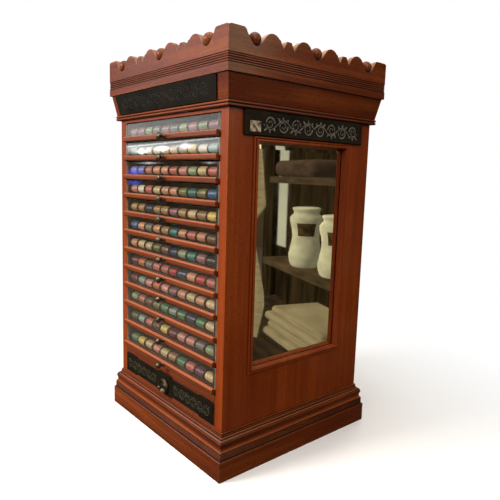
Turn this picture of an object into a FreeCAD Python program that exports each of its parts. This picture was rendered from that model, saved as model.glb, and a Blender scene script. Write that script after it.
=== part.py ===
import FreeCAD, Part
import math
import os

from FreeCAD import Vector

# Counter-top cabinet for spools of sewing silk, late nineteenth century, in stained cherry.
# Twelve shallow drawers with glass fronts stand over one deeper drawer with a shaped black front.
# The case has a reeded plinth, a sloped frieze, a reeded crown and a cut-out cresting on all four
# sides, and its right side holds a framed mirror.
# Frame: X runs along the drawer fronts, Y from the drawer fronts to the back, Z up.
# The origin is the middle of the plinth's footprint on the counter. All sizes are in millimetres.

# Case
CASE_WIDTH = 430.0
CASE_DEPTH = 422.0
SIDE_THICKNESS = 24.0
BACK_THICKNESS = 12.0
FLOOR_THICKNESS = 12.0
TOP_THICKNESS = 12.0
HEADER_THICKNESS = 18.0
CASE_FOOT_GAP = 2.0
BACK_BOARDS = 4
BACK_GROOVE_WIDTH = 3.0
BACK_GROOVE_DEPTH = 1.5

# Heights of the twelve spool drawers' slots, from the top one down, and of the deep drawer's slot
LIKE_SLOTS = 9
LIKE_SLOT_HEIGHT = 44.8
LOWER_SLOT_HEIGHTS = (47.0, 51.0, 57.0)
DEEP_SLOT_HEIGHT = 70.7
HEADER_REVEAL = 7.0

# Plinth, as overhangs from the case's faces and heights
PLINTH_OVERHANG = 17.5
PLINTH_BOARD_HEIGHT = 44.0
PLINTH_EASE = 1.5
PLINTH_REEDS = 4
PLINTH_REED_PITCH = 3.25
PLINTH_REED_SETBACK = 4.5
REED_BULGE = 1.2

# Base moulding, from its fillet up to its cove
BASE_OVERHANG = 13.5
BASE_FILLET_HEIGHT = 3.4
BASE_FILLET_STEP = 1.5
BASE_HOLLOW_HEIGHT = 12.0
BASE_HOLLOW_DEPTH = 2.0
BASE_ROUND_HEIGHT = 11.6
BASE_ROUND_RUN = 5.0
BASE_ROUND_BULGE = 1.4
BASE_COVE_HEIGHT = 10.0
BASE_COVE_STEP = 1.5
BASE_COVE_RUN = 3.0
BASE_COVE_DEPTH = 0.8
FLOOR_SILL = 3.0

# Crown: double bead, sloped frieze, fascia and reeds
FRIEZE_BEADS = 2
BEAD_PITCH = 6.0
BEAD_OVERHANG = 7.0
BEAD_BULGE = 2.6
FRIEZE_HEIGHT = 46.5
FRIEZE_FOOT_OVERHANG = 7.5
FRIEZE_HEAD_OVERHANG = 16.5
CROWN_OVERHANG = 20.5
FASCIA_HEIGHT = 15.5
CROWN_REEDS = 4
CROWN_REED_PITCH = 4.25
CROWN_REED_SETBACK = 1.6

# Cresting: round notches with humps beside them, and a spike between two sharp notches.
# The slope is that of a round notch's walls, in degrees from level.
CREST_THICKNESS = 14.0
CREST_HEIGHT = 47.0
CREST_END_DROP = 2.5
CREST_END_EASE = 14.0
NOTCH_RADIUS = 13.5
NOTCH_DEPTH = 28.5
NOTCH_TO_CORNER = 66.0
NOTCH_WALL_SLOPE = 52.0
SHOULDER_DROP = 7.5
HUMP_WIDTH = 34.0
CORNER_RISE_RUN = 9.0
CORNER_RISE_BULGE = 1.5
SPIKE_WIDTH = 12.0
SHARP_NOTCH_WIDTH = 17.5
SHARP_NOTCH_DEPTH = 22.0
BALL_CLEARANCE = 0.2
BALL_FLATS = 12
BALL_BANDS = 6
BALL_END_LATITUDE = 75.0

# Black boards on the frieze and on the right side, left blank
FRONT_PLATE_LEFT_MARGIN = 22.0
FRONT_PLATE_RIGHT_MARGIN = 33.0
FRONT_PLATE_THICKNESS = 3.0
FRONT_PLATE_EDGE = 1.0
SIDE_PLATE_WIDTH = 352.0
SIDE_PLATE_HEIGHT = 47.5
SIDE_PLATE_THICKNESS = 6.0
SIDE_PLATE_EASE = 1.0
SIDE_PLATE_DROP = 0.3

# Mirror in the right side, and the panel opposite to it in the left side
MIRROR_CENTRE_Y = -6.5
MIRROR_FRAME_WIDTH = 285.0
MIRROR_FRAME_HEIGHT = 481.5
MIRROR_FRAME_DROP = 1.0
FRAME_LIP = 5.0
FRAME_TONGUE = 6.0
FRAME_EDGE_RISE = 2.4
FRAME_GROOVE_RISE = 1.8
OUTER_BEAD_RISE = 3.9
INNER_BEAD_FOOT = 3.4
INNER_BEAD_RISE = 6.2
MIRROR_RECESS = 9.0
MIRROR_THICKNESS = 4.0
MIRROR_EDGE_CLEARANCE = 0.5
PANEL_RECESS = 9.0

# Spool drawers
RAIL_HEIGHT = 12.0
RAIL_DEPTH = 16.0
NOSE = 9.0
NOSE_RADIUS = 3.0
DRAWER_SIDE_GAP = 2.0
RAIL_END_GAP = 1.5
DRAWER_TOP_GAP = 2.5
DRAWER_BACK_GAP = 14.0
WALL_THICKNESS = 10.0
BACK_WALL_THICKNESS = 8.0
TRAY_THICKNESS = 5.0
STOP_SLAT_SETBACK = 27.0
STOP_SLAT_WIDTH = 5.0
STOP_SLAT_HEIGHT = 9.0
PANE_THICKNESS = 2.5
PANE_PROUD = 0.5
PANE_CLEARANCE = 0.2
PANE_GROOVE_DEPTH = 3.0
RUNNER_HEIGHT = 6.0
RUNNER_DEPTH = 7.0
RUNNER_LIFT = 18.0
RUNNER_SETBACK = 21.0
RUNNER_SEAT_CLEARANCE = 0.3
RUNNER_LOOSE_CLEARANCE = 0.5

# Knobs of the spool drawers
KNOB_FOOT_RADIUS = 5.5
KNOB_NECK_RADIUS = 3.8
KNOB_RADIUS = 8.0
KNOB_CAP_RADIUS = 5.4
KNOB_FOOT_HEIGHT = 1.5
KNOB_NECK_REACH = 6.5
KNOB_SHOULDER_REACH = 10.5
KNOB_EDGE_REACH = 14.0
KNOB_LENGTH = 18.0
TURNED_FLATS = 16

# Deep drawer with its black shaped board and round pull
DEEP_FRONT_THICKNESS = 20.0
DEEP_TOP_GAP = 1.7
DEEP_SEAT_CLEARANCE = 0.3
DEEP_WALL_DROP = 6.0
DEEP_TRAY_LIFT = 6.0
PLAQUE_THICKNESS = 3.0
PLAQUE_SIDE_MARGIN = 2.5
PLAQUE_END_WIDTH = 50.0
PLAQUE_END_HEIGHT = 47.0
PLAQUE_WAIST_HEIGHT = 41.0
PLAQUE_BOSS_WIDTH = 54.0
PLAQUE_BOSS_HEIGHT = 51.0
PLAQUE_STEP_RUN = 5.0
PLAQUE_STEP_HOLLOW = 1.5
PLAQUE_LIFT = 2.0
PULL_RADIUS = 18.0
PULL_RIM_WIDTH = 4.0
PULL_RIM_RISE = 7.5
PULL_EDGE_RISE = 4.0
PULL_DISH_RISE = 1.8
PULL_POST_RADIUS = 3.4
PULL_HEAD_RADIUS = 5.0
PULL_NECK_REACH = 11.0
PULL_HEAD_REACH = 14.0
PULL_LENGTH = 18.0
PULL_DROP = 4.0

# Levels and faces that follow from the sizes above
HALF_WIDTH = CASE_WIDTH / 2
HALF_DEPTH = CASE_DEPTH / 2
FRONT_Y = -HALF_DEPTH
INNER_X = HALF_WIDTH - SIDE_THICKNESS
BACK_INNER_Y = HALF_DEPTH - BACK_THICKNESS
PLINTH_TOP = PLINTH_BOARD_HEIGHT + PLINTH_REEDS * PLINTH_REED_PITCH
HOLLOW_FOOT = PLINTH_TOP + BASE_FILLET_HEIGHT
HOLLOW_TOP = HOLLOW_FOOT + BASE_HOLLOW_HEIGHT
ROUND_TOP = HOLLOW_TOP + BASE_ROUND_HEIGHT
BASE_TOP = ROUND_TOP + BASE_COVE_HEIGHT
FLOOR_TOP = BASE_TOP + FLOOR_SILL
DEEP_SLOT_TOP = FLOOR_TOP + DEEP_SLOT_HEIGHT
SLOT_HEIGHTS = (LIKE_SLOT_HEIGHT,) * LIKE_SLOTS + LOWER_SLOT_HEIGHTS
OPENING_TOP = DEEP_SLOT_TOP + sum(SLOT_HEIGHTS)
BEAD_FOOT = OPENING_TOP + HEADER_REVEAL
FRIEZE_FOOT = BEAD_FOOT + FRIEZE_BEADS * BEAD_PITCH
FRIEZE_HEAD = FRIEZE_FOOT + FRIEZE_HEIGHT
REEDS_FOOT = FRIEZE_HEAD + FASCIA_HEIGHT
CROWN_TOP = REEDS_FOOT + CROWN_REEDS * CROWN_REED_PITCH
CREST_TOP = CROWN_TOP + CREST_HEIGHT
SIDE_PLATE_TOP = BEAD_FOOT - SIDE_PLATE_DROP
SIDE_PLATE_FOOT = SIDE_PLATE_TOP - SIDE_PLATE_HEIGHT
MIRROR_FRAME_TOP = SIDE_PLATE_FOOT - MIRROR_FRAME_DROP
DRAWER_OUTER_X = INNER_X - DRAWER_SIDE_GAP
DRAWER_INNER_X = DRAWER_OUTER_X - WALL_THICKNESS
RAIL_HALF = INNER_X - RAIL_END_GAP
DRAWER_BACK_Y = BACK_INNER_Y - DRAWER_BACK_GAP
PANE_FRONT_Y = FRONT_Y - PANE_PROUD
PANE_BACK_Y = PANE_FRONT_Y + PANE_THICKNESS
PLAQUE_FRONT_Y = FRONT_Y - PLAQUE_THICKNESS
PLAQUE_MIDDLE = FLOOR_TOP + PLAQUE_LIFT + PLAQUE_BOSS_HEIGHT / 2
HALF_ROOT = math.sqrt(0.5)


def box(x, y, z):
    """A block between two X, two Y and two Z values."""
    block = Part.makeBox(x[1] - x[0], y[1] - y[0], z[1] - z[0])
    block.translate(Vector(x[0], y[0], z[0]))
    return block


def fused(solids):
    """One solid from several that touch or overlap."""
    return solids[0].multiFuse(solids[1:]).removeSplitter()


def outline(moves, to_point):
    """A face bounded by straight lines and arcs.

    Each move is the end point of a line, or the middle and end points of an arc.
    The last move ends where the outline began.
    """
    edges = []
    here = to_point(*moves[0])
    for move in moves[1:]:
        if isinstance(move[0], tuple):
            middle, end = to_point(*move[0]), to_point(*move[1])
            edges.append(Part.Arc(here, middle, end).toShape())
        else:
            end = to_point(*move)
            edges.append(Part.LineSegment(here, end).toShape())
        here = end
    return Part.Face(Part.Wire(edges))


def changed(moves, change):
    """The same moves with each of their points changed."""
    result = []
    for move in moves:
        if isinstance(move[0], tuple):
            result.append((change(*move[0]), change(*move[1])))
        else:
            result.append(change(*move))
    return result


def retraced(start, moves):
    """Moves that lead along the mirror image of an outline back to its start, on the Z axis."""
    ends = [start]
    middles = []
    for move in moves:
        is_arc = isinstance(move[0], tuple)
        ends.append(move[1] if is_arc else move)
        middles.append(move[0] if is_arc else None)
    result = []
    for middle, end in zip(reversed(middles), reversed(ends[:-1])):
        result.append((middle, end) if middle else end)
    return changed(result, lambda x, z: (-x, z))


def bulges(overhang, foot, count, pitch, bulge):
    """Half-round reeds or beads one above the other, for an outline that is at their foot."""
    arcs = []
    for number in range(count):
        low = foot + number * pitch
        arcs.append(((overhang + bulge, low + pitch / 2), (overhang, low + pitch)))
    return arcs


def four_sides():
    """Turn, half length and half distance across, for the front, right, back and left faces."""
    wide = (HALF_WIDTH, HALF_DEPTH)
    deep = (HALF_DEPTH, HALF_WIDTH)
    return (0,) + wide, (90,) + deep, (180,) + wide, (270,) + deep


def mitre_wedge(half_run, half_across, reach):
    """The space between the two mitre planes of the front face, over the cabinet's height."""
    corners = []
    for side, overhang in ((-1, -reach), (1, -reach), (1, reach), (-1, reach)):
        corners.append(Vector(side * (half_run + overhang), -half_across - overhang, 0))
    corners.append(corners[0])
    return Part.Face(Part.makePolygon(corners)).extrude(Vector(0, 0, CREST_TOP))


def moulding(moves, reach):
    """A moulding around all four faces of the case, mitred and glued at the corners.

    The outline is given as overhang from the case's face and height.
    """
    sticks = []
    for turn, half_run, half_across in four_sides():
        start = -half_run - reach
        profile = outline(moves, lambda over, z: Vector(start, -half_across - over, z))
        stick = profile.extrude(Vector(-2 * start, 0, 0))
        stick = stick.common(mitre_wedge(half_run, half_across, reach))
        stick.rotate(Vector(0, 0, 0), Vector(0, 0, 1), turn)
        sticks.append(stick)
    return fused(sticks)


def plinth():
    """Plain boards under a set-back band of reeds, around the foot of the case."""
    face = PLINTH_OVERHANG
    reeded = face - PLINTH_REED_SETBACK
    moves = [(0, 0), (face, 0), (face, PLINTH_BOARD_HEIGHT - PLINTH_EASE)]
    moves += [(face - PLINTH_EASE, PLINTH_BOARD_HEIGHT), (reeded, PLINTH_BOARD_HEIGHT)]
    moves += bulges(reeded, PLINTH_BOARD_HEIGHT, PLINTH_REEDS, PLINTH_REED_PITCH, REED_BULGE)
    moves += [(0, PLINTH_TOP), (0, 0)]
    return moulding(moves, face)


def base_moulding():
    """Fillet, hollow, round and small cove, from the plinth up to the case."""
    hollow = BASE_OVERHANG - BASE_FILLET_STEP
    over_round = hollow - BASE_ROUND_RUN
    cove = over_round - BASE_COVE_STEP
    over_cove = cove - BASE_COVE_RUN
    hollow_middle = (hollow - BASE_HOLLOW_DEPTH, (HOLLOW_FOOT + HOLLOW_TOP) / 2)
    round_middle = (
        (hollow + over_round) / 2 + BASE_ROUND_BULGE,
        (HOLLOW_TOP + ROUND_TOP) / 2 + BASE_ROUND_BULGE,
    )
    cove_middle = (
        (cove + over_cove) / 2 - BASE_COVE_DEPTH,
        (ROUND_TOP + BASE_TOP) / 2 - BASE_COVE_DEPTH,
    )
    moves = [(0, PLINTH_TOP), (BASE_OVERHANG, PLINTH_TOP), (BASE_OVERHANG, HOLLOW_FOOT)]
    moves += [(hollow, HOLLOW_FOOT), (hollow_middle, (hollow, HOLLOW_TOP))]
    moves += [(round_middle, (over_round, ROUND_TOP)), (cove, ROUND_TOP)]
    moves += [(cove_middle, (over_cove, BASE_TOP)), (0, BASE_TOP), (0, PLINTH_TOP)]
    return moulding(moves, BASE_OVERHANG)


def bead_moulding():
    """Two small beads, one over the other, at the foot of the frieze."""
    moves = [(0, BEAD_FOOT), (BEAD_OVERHANG, BEAD_FOOT)]
    moves += bulges(BEAD_OVERHANG, BEAD_FOOT, FRIEZE_BEADS, BEAD_PITCH, BEAD_BULGE)
    moves += [(0, FRIEZE_FOOT), (0, BEAD_FOOT)]
    return moulding(moves, BEAD_OVERHANG + BEAD_BULGE)


def frieze():
    """Tapered boards that lean outwards from the beads to the fascia."""
    moves = [(0, FRIEZE_FOOT), (FRIEZE_FOOT_OVERHANG, FRIEZE_FOOT)]
    moves += [(FRIEZE_HEAD_OVERHANG, FRIEZE_HEAD), (0, FRIEZE_HEAD), (0, FRIEZE_FOOT)]
    return moulding(moves, FRIEZE_HEAD_OVERHANG)


def crown_band():
    """Flat fascia with a band of reeds over it."""
    reeded = CROWN_OVERHANG - CROWN_REED_SETBACK
    moves = [(0, FRIEZE_HEAD), (CROWN_OVERHANG, FRIEZE_HEAD), (CROWN_OVERHANG, REEDS_FOOT)]
    moves += [(reeded, REEDS_FOOT)]
    moves += bulges(reeded, REEDS_FOOT, CROWN_REEDS, CROWN_REED_PITCH, REED_BULGE)
    moves += [(0, CROWN_TOP), (0, FRIEZE_HEAD)]
    return moulding(moves, CROWN_OVERHANG)


def half_notch(notch, side):
    """The edge of a round notch from its bottom up one sloping wall to its lip."""
    slope = math.radians(NOTCH_WALL_SLOPE)
    foot = CREST_TOP - NOTCH_DEPTH

    def on_arc(angle):
        """Point of the notch's round bottom."""
        run = NOTCH_RADIUS * math.sin(angle)
        return (notch + side * run, foot + NOTCH_RADIUS * (1 - math.cos(angle)))

    wall_foot = on_arc(slope)
    wall_rise = CREST_TOP - SHOULDER_DROP - wall_foot[1]
    lip = (wall_foot[0] + side * wall_rise / math.tan(slope), CREST_TOP - SHOULDER_DROP)
    return on_arc(slope / 2), wall_foot, lip


def half_crest_edge(half_length):
    """The cut edge of a cresting board from the middle of its length to its right end.

    It runs up out of the middle notch, over a hump, a spike between two sharp notches and a
    second hump, through the outer notch and over the tall corner.
    """
    notch = half_length - NOTCH_TO_CORNER
    shoulder = CREST_TOP - SHOULDER_DROP
    sharp = CREST_TOP - SHARP_NOTCH_DEPTH
    bend, wall_foot, lip = half_notch(0, 1)
    moves = [(bend, wall_foot), lip]
    moves += [((lip[0] + HUMP_WIDTH / 2, CREST_TOP), (lip[0] + HUMP_WIDTH, shoulder))]
    half_sharp = SHARP_NOTCH_WIDTH / 2
    for side in (-1, 1):
        centre = notch / 2 + side * (SPIKE_WIDTH / 2 + half_sharp)
        moves += [(centre - half_sharp, shoulder), (centre, sharp), (centre + half_sharp, shoulder)]
    bend, wall_foot, lip = half_notch(notch, -1)
    moves += [(lip[0] - HUMP_WIDTH, shoulder), ((lip[0] - HUMP_WIDTH / 2, CREST_TOP), lip)]
    moves += [wall_foot, (bend, (notch, CREST_TOP - NOTCH_DEPTH))]
    bend, wall_foot, lip = half_notch(notch, 1)
    corner_top = (lip[0] + CORNER_RISE_RUN, CREST_TOP)
    rise_middle = (
        (lip[0] + corner_top[0]) / 2 - CORNER_RISE_BULGE,
        (lip[1] + CREST_TOP) / 2 + CORNER_RISE_BULGE,
    )
    moves += [(bend, wall_foot), lip, (rise_middle, corner_top)]
    end_middle = (
        half_length - CREST_END_EASE * (1 - HALF_ROOT),
        CREST_TOP - CREST_END_DROP * (1 - HALF_ROOT),
    )
    moves += [(half_length - CREST_END_EASE, CREST_TOP)]
    moves += [(end_middle, (half_length, CREST_TOP - CREST_END_DROP))]
    return moves


def crest_board(turn, half_run, half_across):
    """One cresting board, cut out along its top edge and mitred at both ends."""
    half_length = half_run + CROWN_OVERHANG
    middle = (0, CREST_TOP - NOTCH_DEPTH)
    right = half_crest_edge(half_length)
    moves = [(-half_length, CROWN_TOP), (-half_length, CREST_TOP - CREST_END_DROP)]
    moves += retraced(middle, right) + right
    moves += [(half_length, CROWN_TOP), (-half_length, CROWN_TOP)]
    front = -half_across - CROWN_OVERHANG
    board = outline(moves, lambda x, z: Vector(x, front, z))
    board = board.extrude(Vector(0, CREST_THICKNESS, 0))
    board = board.common(mitre_wedge(half_run, half_across, CROWN_OVERHANG))
    board.rotate(Vector(0, 0, 0), Vector(0, 0, 1), turn)
    return board


def turned(points, flats, seat):
    """A turned piece with flats for its round, about an axis that runs out of its seat along -Y.

    The points are radii and reaches, from the axis at the seat to the axis at the far end.
    """
    rings = []
    for number in range(flats):
        angle = 2 * math.pi * number / flats
        across, up = math.cos(angle), math.sin(angle)
        rings.append([seat + Vector(r * across, -reach, r * up) for r, reach in points])
    faces = []
    for number in range(flats):
        here, there = rings[number - 1], rings[number]
        for low, high in zip(range(len(points)), range(1, len(points))):
            corners = [here[low], here[high]]
            if points[high][0] > 0:
                corners.append(there[high])
            if points[low][0] > 0:
                corners.append(there[low])
            faces.append(Part.Face(Part.makePolygon(corners + corners[:1])))
    shell = Part.makeShell(faces)
    shell.sewShape()
    return Part.makeSolid(shell).removeSplitter()


def crest_ball(centre):
    """One turned ball, with its seat at its middle."""
    radius = NOTCH_RADIUS - BALL_CLEARANCE
    end = math.radians(BALL_END_LATITUDE)
    points = [(0, -radius * math.sin(end))]
    for number in range(BALL_BANDS + 1):
        latitude = end * (2 * number / BALL_BANDS - 1)
        points.append((radius * math.cos(latitude), radius * math.sin(latitude)))
    points.append((0, radius * math.sin(end)))
    return turned(points, BALL_FLATS, centre)


def crest_balls():
    """A turned ball in each round notch of the four cresting boards."""
    balls = []
    for turn, half_run, half_across in four_sides():
        notch = half_run + CROWN_OVERHANG - NOTCH_TO_CORNER
        across = -half_across - CROWN_OVERHANG + CREST_THICKNESS / 2
        for along in (-notch, 0, notch):
            ball = crest_ball(Vector(along, across, CREST_TOP - NOTCH_DEPTH + NOTCH_RADIUS))
            ball.rotate(Vector(0, 0, 0), Vector(0, 0, 1), turn)
            balls.append(ball)
    return Part.makeCompound(balls)


def side_opening():
    """Low and high Y and Z of the opening in a side, inside the mirror frame's lip."""
    half = MIRROR_FRAME_WIDTH / 2 - FRAME_LIP
    top = MIRROR_FRAME_TOP - FRAME_LIP
    foot = MIRROR_FRAME_TOP - MIRROR_FRAME_HEIGHT + FRAME_LIP
    return (MIRROR_CENTRE_Y - half, MIRROR_CENTRE_Y + half), (foot, top)


def side_right():
    """Side board with the through opening that holds the mirror."""
    along = (FRONT_Y, HALF_DEPTH)
    side = box((INNER_X, HALF_WIDTH), along, (CASE_FOOT_GAP, FRIEZE_HEAD))
    return side.cut(box((INNER_X, HALF_WIDTH), *side_opening()))


def side_left():
    """Side board with a flat panel set back from its outer face."""
    along = (FRONT_Y, HALF_DEPTH)
    side = box((-HALF_WIDTH, -INNER_X), along, (CASE_FOOT_GAP, FRIEZE_HEAD))
    return side.cut(box((-HALF_WIDTH, -HALF_WIDTH + PANEL_RECESS), *side_opening()))


def mirror_frame():
    """Moulding with an outer and an inner bead, whose tongue lines the opening."""
    tongue = FRAME_LIP + FRAME_TONGUE
    moves = [(0, 0), (0, FRAME_EDGE_RISE)]
    moves += [((FRAME_LIP / 2, OUTER_BEAD_RISE), (FRAME_LIP, FRAME_GROOVE_RISE))]
    moves += [(FRAME_LIP, INNER_BEAD_FOOT)]
    moves += [((FRAME_LIP + FRAME_TONGUE / 2, INNER_BEAD_RISE), (tongue, INNER_BEAD_FOOT))]
    moves += [(tongue, -MIRROR_RECESS), (FRAME_LIP, -MIRROR_RECESS), (FRAME_LIP, 0), (0, 0)]
    half_y = MIRROR_FRAME_WIDTH / 2
    half_z = MIRROR_FRAME_HEIGHT / 2
    sticks = []
    for turn, half_run, half_across in (
        (0, half_y, half_z),
        (90, half_z, half_y),
        (180, half_y, half_z),
        (270, half_z, half_y),
    ):
        profile = outline(moves, lambda inward, rise: Vector(rise, -half_run, inward - half_across))
        stick = profile.extrude(Vector(0, 2 * half_run, 0))
        corners = []
        for side, inward in ((-1, 0), (1, 0), (1, tongue), (-1, tongue)):
            corners.append(
                Vector(-MIRROR_RECESS, side * (half_run - inward), inward - half_across)
            )
        corners.append(corners[0])
        wedge = Part.Face(Part.makePolygon(corners))
        stick = stick.common(wedge.extrude(Vector(MIRROR_RECESS + 2 * INNER_BEAD_RISE, 0, 0)))
        stick.rotate(Vector(0, 0, 0), Vector(1, 0, 0), turn)
        sticks.append(stick)
    frame = fused(sticks)
    frame.translate(Vector(HALF_WIDTH, MIRROR_CENTRE_Y, MIRROR_FRAME_TOP - half_z))
    return frame


def opening_sheet(outer_x, inner_x):
    """A sheet that fills the right side's opening between two depths."""
    across, up = side_opening()
    gap = MIRROR_EDGE_CLEARANCE
    return box((inner_x, outer_x), (across[0] + gap, across[1] - gap), (up[0] + gap, up[1] - gap))


def mirror():
    """Looking glass behind the frame's tongue."""
    face = HALF_WIDTH - MIRROR_RECESS
    return opening_sheet(face, face - MIRROR_THICKNESS)


def mirror_back():
    """Board behind the looking glass, flush with the inside of the case."""
    return opening_sheet(HALF_WIDTH - MIRROR_RECESS - MIRROR_THICKNESS, INNER_X)


def back_panel():
    """Upright boards between the sides, with a groove at each joint on the outside."""
    panel = box((-INNER_X, INNER_X), (BACK_INNER_Y, HALF_DEPTH), (CASE_FOOT_GAP, FRIEZE_HEAD))
    pitch = 2 * INNER_X / BACK_BOARDS
    for number in range(1, BACK_BOARDS):
        left = -INNER_X + number * pitch - BACK_GROOVE_WIDTH / 2
        along = (HALF_DEPTH - BACK_GROOVE_DEPTH, HALF_DEPTH)
        panel = panel.cut(box((left, left + BACK_GROOVE_WIDTH), along, (CASE_FOOT_GAP, FRIEZE_HEAD)))
    return panel


def floor_board():
    """Bottom of the case, which also carries the deep drawer."""
    up = (FLOOR_TOP - FLOOR_THICKNESS, FLOOR_TOP)
    return box((-INNER_X, INNER_X), (FRONT_Y, BACK_INNER_Y), up)


def header_rail():
    """Rail across the front, over the top drawer and behind the frieze."""
    along = (FRONT_Y, FRONT_Y + HEADER_THICKNESS)
    return box((-INNER_X, INNER_X), along, (OPENING_TOP, FRIEZE_HEAD))


def top_board():
    """Board that lies on the sides, the back and the header rail, inside the crown."""
    up = (FRIEZE_HEAD, FRIEZE_HEAD + TOP_THICKNESS)
    return box((-HALF_WIDTH, HALF_WIDTH), (FRONT_Y, HALF_DEPTH), up)


def front_plate():
    """Black board on the sloped front of the frieze, its ends cut in line with the mitres."""
    lean = (FRIEZE_HEAD_OVERHANG - FRIEZE_FOOT_OVERHANG) / FRIEZE_HEIGHT
    low = FRIEZE_FOOT + FRONT_PLATE_EDGE
    high = FRIEZE_HEAD - FRONT_PLATE_EDGE
    left = (-1, FRONT_PLATE_LEFT_MARGIN)
    right = (1, FRONT_PLATE_RIGHT_MARGIN)
    corners = []
    for (side, margin), height in ((left, low), (right, low), (right, high), (left, high)):
        overhang = FRIEZE_FOOT_OVERHANG + lean * (height - FRIEZE_FOOT)
        corners.append(
            Vector(side * (HALF_WIDTH + overhang - margin), FRONT_Y - overhang, height)
        )
    corners.append(corners[0])
    outward = Vector(0, -1, -lean).normalize() * FRONT_PLATE_THICKNESS
    return Part.Face(Part.makePolygon(corners)).extrude(outward)


def side_plate():
    """Black board on the right side, close under the beads, with eased edges."""
    face = HALF_WIDTH + SIDE_PLATE_THICKNESS
    half = SIDE_PLATE_WIDTH / 2
    plate = box((HALF_WIDTH, face), (-half, half), (SIDE_PLATE_FOOT, SIDE_PLATE_TOP))
    front_face = max(plate.Faces, key=lambda each: each.CenterOfMass.x)
    return plate.makeChamfer(SIDE_PLATE_EASE, front_face.Edges)


def slots():
    """Foot and height of each spool drawer's slot, from the top one down."""
    result = []
    top = OPENING_TOP
    for height in SLOT_HEIGHTS:
        top -= height
        result.append((top, height))
    return result


def runners(side):
    """The strips on one side of the case that the spool drawers hang on."""
    across = sorted((side * (INNER_X - RUNNER_DEPTH), side * INNER_X))
    along = (FRONT_Y + RUNNER_SETBACK, BACK_INNER_Y)
    strips = []
    for slot_foot, slot_height in slots():
        low = slot_foot + RUNNER_LIFT
        strips.append(box(across, along, (low, low + RUNNER_HEIGHT)))
    return Part.makeCompound(strips)


def rail(slot_foot):
    """Front rail of a spool drawer, with a rounded nose and a groove for the glass."""
    nose = FRONT_Y - NOSE
    back = FRONT_Y + RAIL_DEPTH
    top = slot_foot + RAIL_HEIGHT
    radius = NOSE_RADIUS
    ease = radius * (1 - HALF_ROOT)
    moves = [(back, slot_foot), (nose + radius, slot_foot)]
    moves += [((nose + ease, slot_foot + ease), (nose, slot_foot + radius))]
    moves += [(nose, top - radius), ((nose + ease, top - ease), (nose + radius, top))]
    moves += [(back, top), (back, slot_foot)]
    profile = outline(moves, lambda y, z: Vector(-RAIL_HALF, y, z))
    along = (PANE_FRONT_Y - PANE_CLEARANCE, PANE_BACK_Y + PANE_CLEARANCE)
    groove = box((-RAIL_HALF, RAIL_HALF), along, (top - PANE_GROOVE_DEPTH, top))
    return profile.extrude(Vector(2 * RAIL_HALF, 0, 0)).cut(groove)


def side_walls(front_y, foot, top):
    """The two side walls of a drawer."""
    walls = []
    for side in (-1, 1):
        across = sorted((side * DRAWER_INNER_X, side * DRAWER_OUTER_X))
        walls.append(box(across, (front_y, DRAWER_BACK_Y), (foot, top)))
    return walls


def spool_drawer(slot_foot, slot_height):
    """Shallow tray on a front rail, grooved along both sides for its runners."""
    tray_top = slot_foot + RAIL_HEIGHT
    wall_top = slot_foot + slot_height - DRAWER_TOP_GAP
    inside = (-DRAWER_INNER_X, DRAWER_INNER_X)
    back = (DRAWER_BACK_Y - BACK_WALL_THICKNESS, DRAWER_BACK_Y)
    slat = (FRONT_Y + STOP_SLAT_SETBACK, FRONT_Y + STOP_SLAT_SETBACK + STOP_SLAT_WIDTH)
    parts = [rail(slot_foot)]
    parts += side_walls(PANE_BACK_Y + PANE_CLEARANCE, slot_foot, wall_top)
    parts.append(box(inside, back, (slot_foot, wall_top)))
    parts.append(box(inside, (FRONT_Y + RAIL_DEPTH, back[0]), (tray_top - TRAY_THICKNESS, tray_top)))
    parts.append(box(inside, slat, (tray_top, tray_top + STOP_SLAT_HEIGHT)))
    drawer = fused(parts)
    low = slot_foot + RUNNER_LIFT - RUNNER_LOOSE_CLEARANCE
    high = slot_foot + RUNNER_LIFT + RUNNER_HEIGHT + RUNNER_SEAT_CLEARANCE
    along = (FRONT_Y + RUNNER_SETBACK - RUNNER_LOOSE_CLEARANCE, DRAWER_BACK_Y)
    groove_bottom = INNER_X - RUNNER_DEPTH - RUNNER_LOOSE_CLEARANCE
    for side in (-1, 1):
        across = sorted((side * groove_bottom, side * DRAWER_OUTER_X))
        drawer = drawer.cut(box(across, along, (low, high)))
    return drawer


def pane(slot_foot, slot_height):
    """Glass front of a spool drawer, standing in the rail's groove."""
    foot = slot_foot + RAIL_HEIGHT - PANE_GROOVE_DEPTH + PANE_CLEARANCE
    top = slot_foot + slot_height - DRAWER_TOP_GAP
    return box((-DRAWER_OUTER_X, DRAWER_OUTER_X), (PANE_FRONT_Y, PANE_BACK_Y), (foot, top))


def knob(slot_foot):
    """Small metal knob in the middle of a drawer's rail."""
    points = [(0, 0), (KNOB_FOOT_RADIUS, 0), (KNOB_FOOT_RADIUS, KNOB_FOOT_HEIGHT)]
    points += [(KNOB_NECK_RADIUS, KNOB_FOOT_HEIGHT), (KNOB_NECK_RADIUS, KNOB_NECK_REACH)]
    points += [(KNOB_RADIUS, KNOB_SHOULDER_REACH), (KNOB_RADIUS, KNOB_EDGE_REACH)]
    points += [(KNOB_CAP_RADIUS, KNOB_LENGTH), (0, KNOB_LENGTH)]
    seat = Vector(0, FRONT_Y - NOSE, slot_foot + RAIL_HEIGHT / 2)
    return turned(points, TURNED_FLATS, seat)


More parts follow.
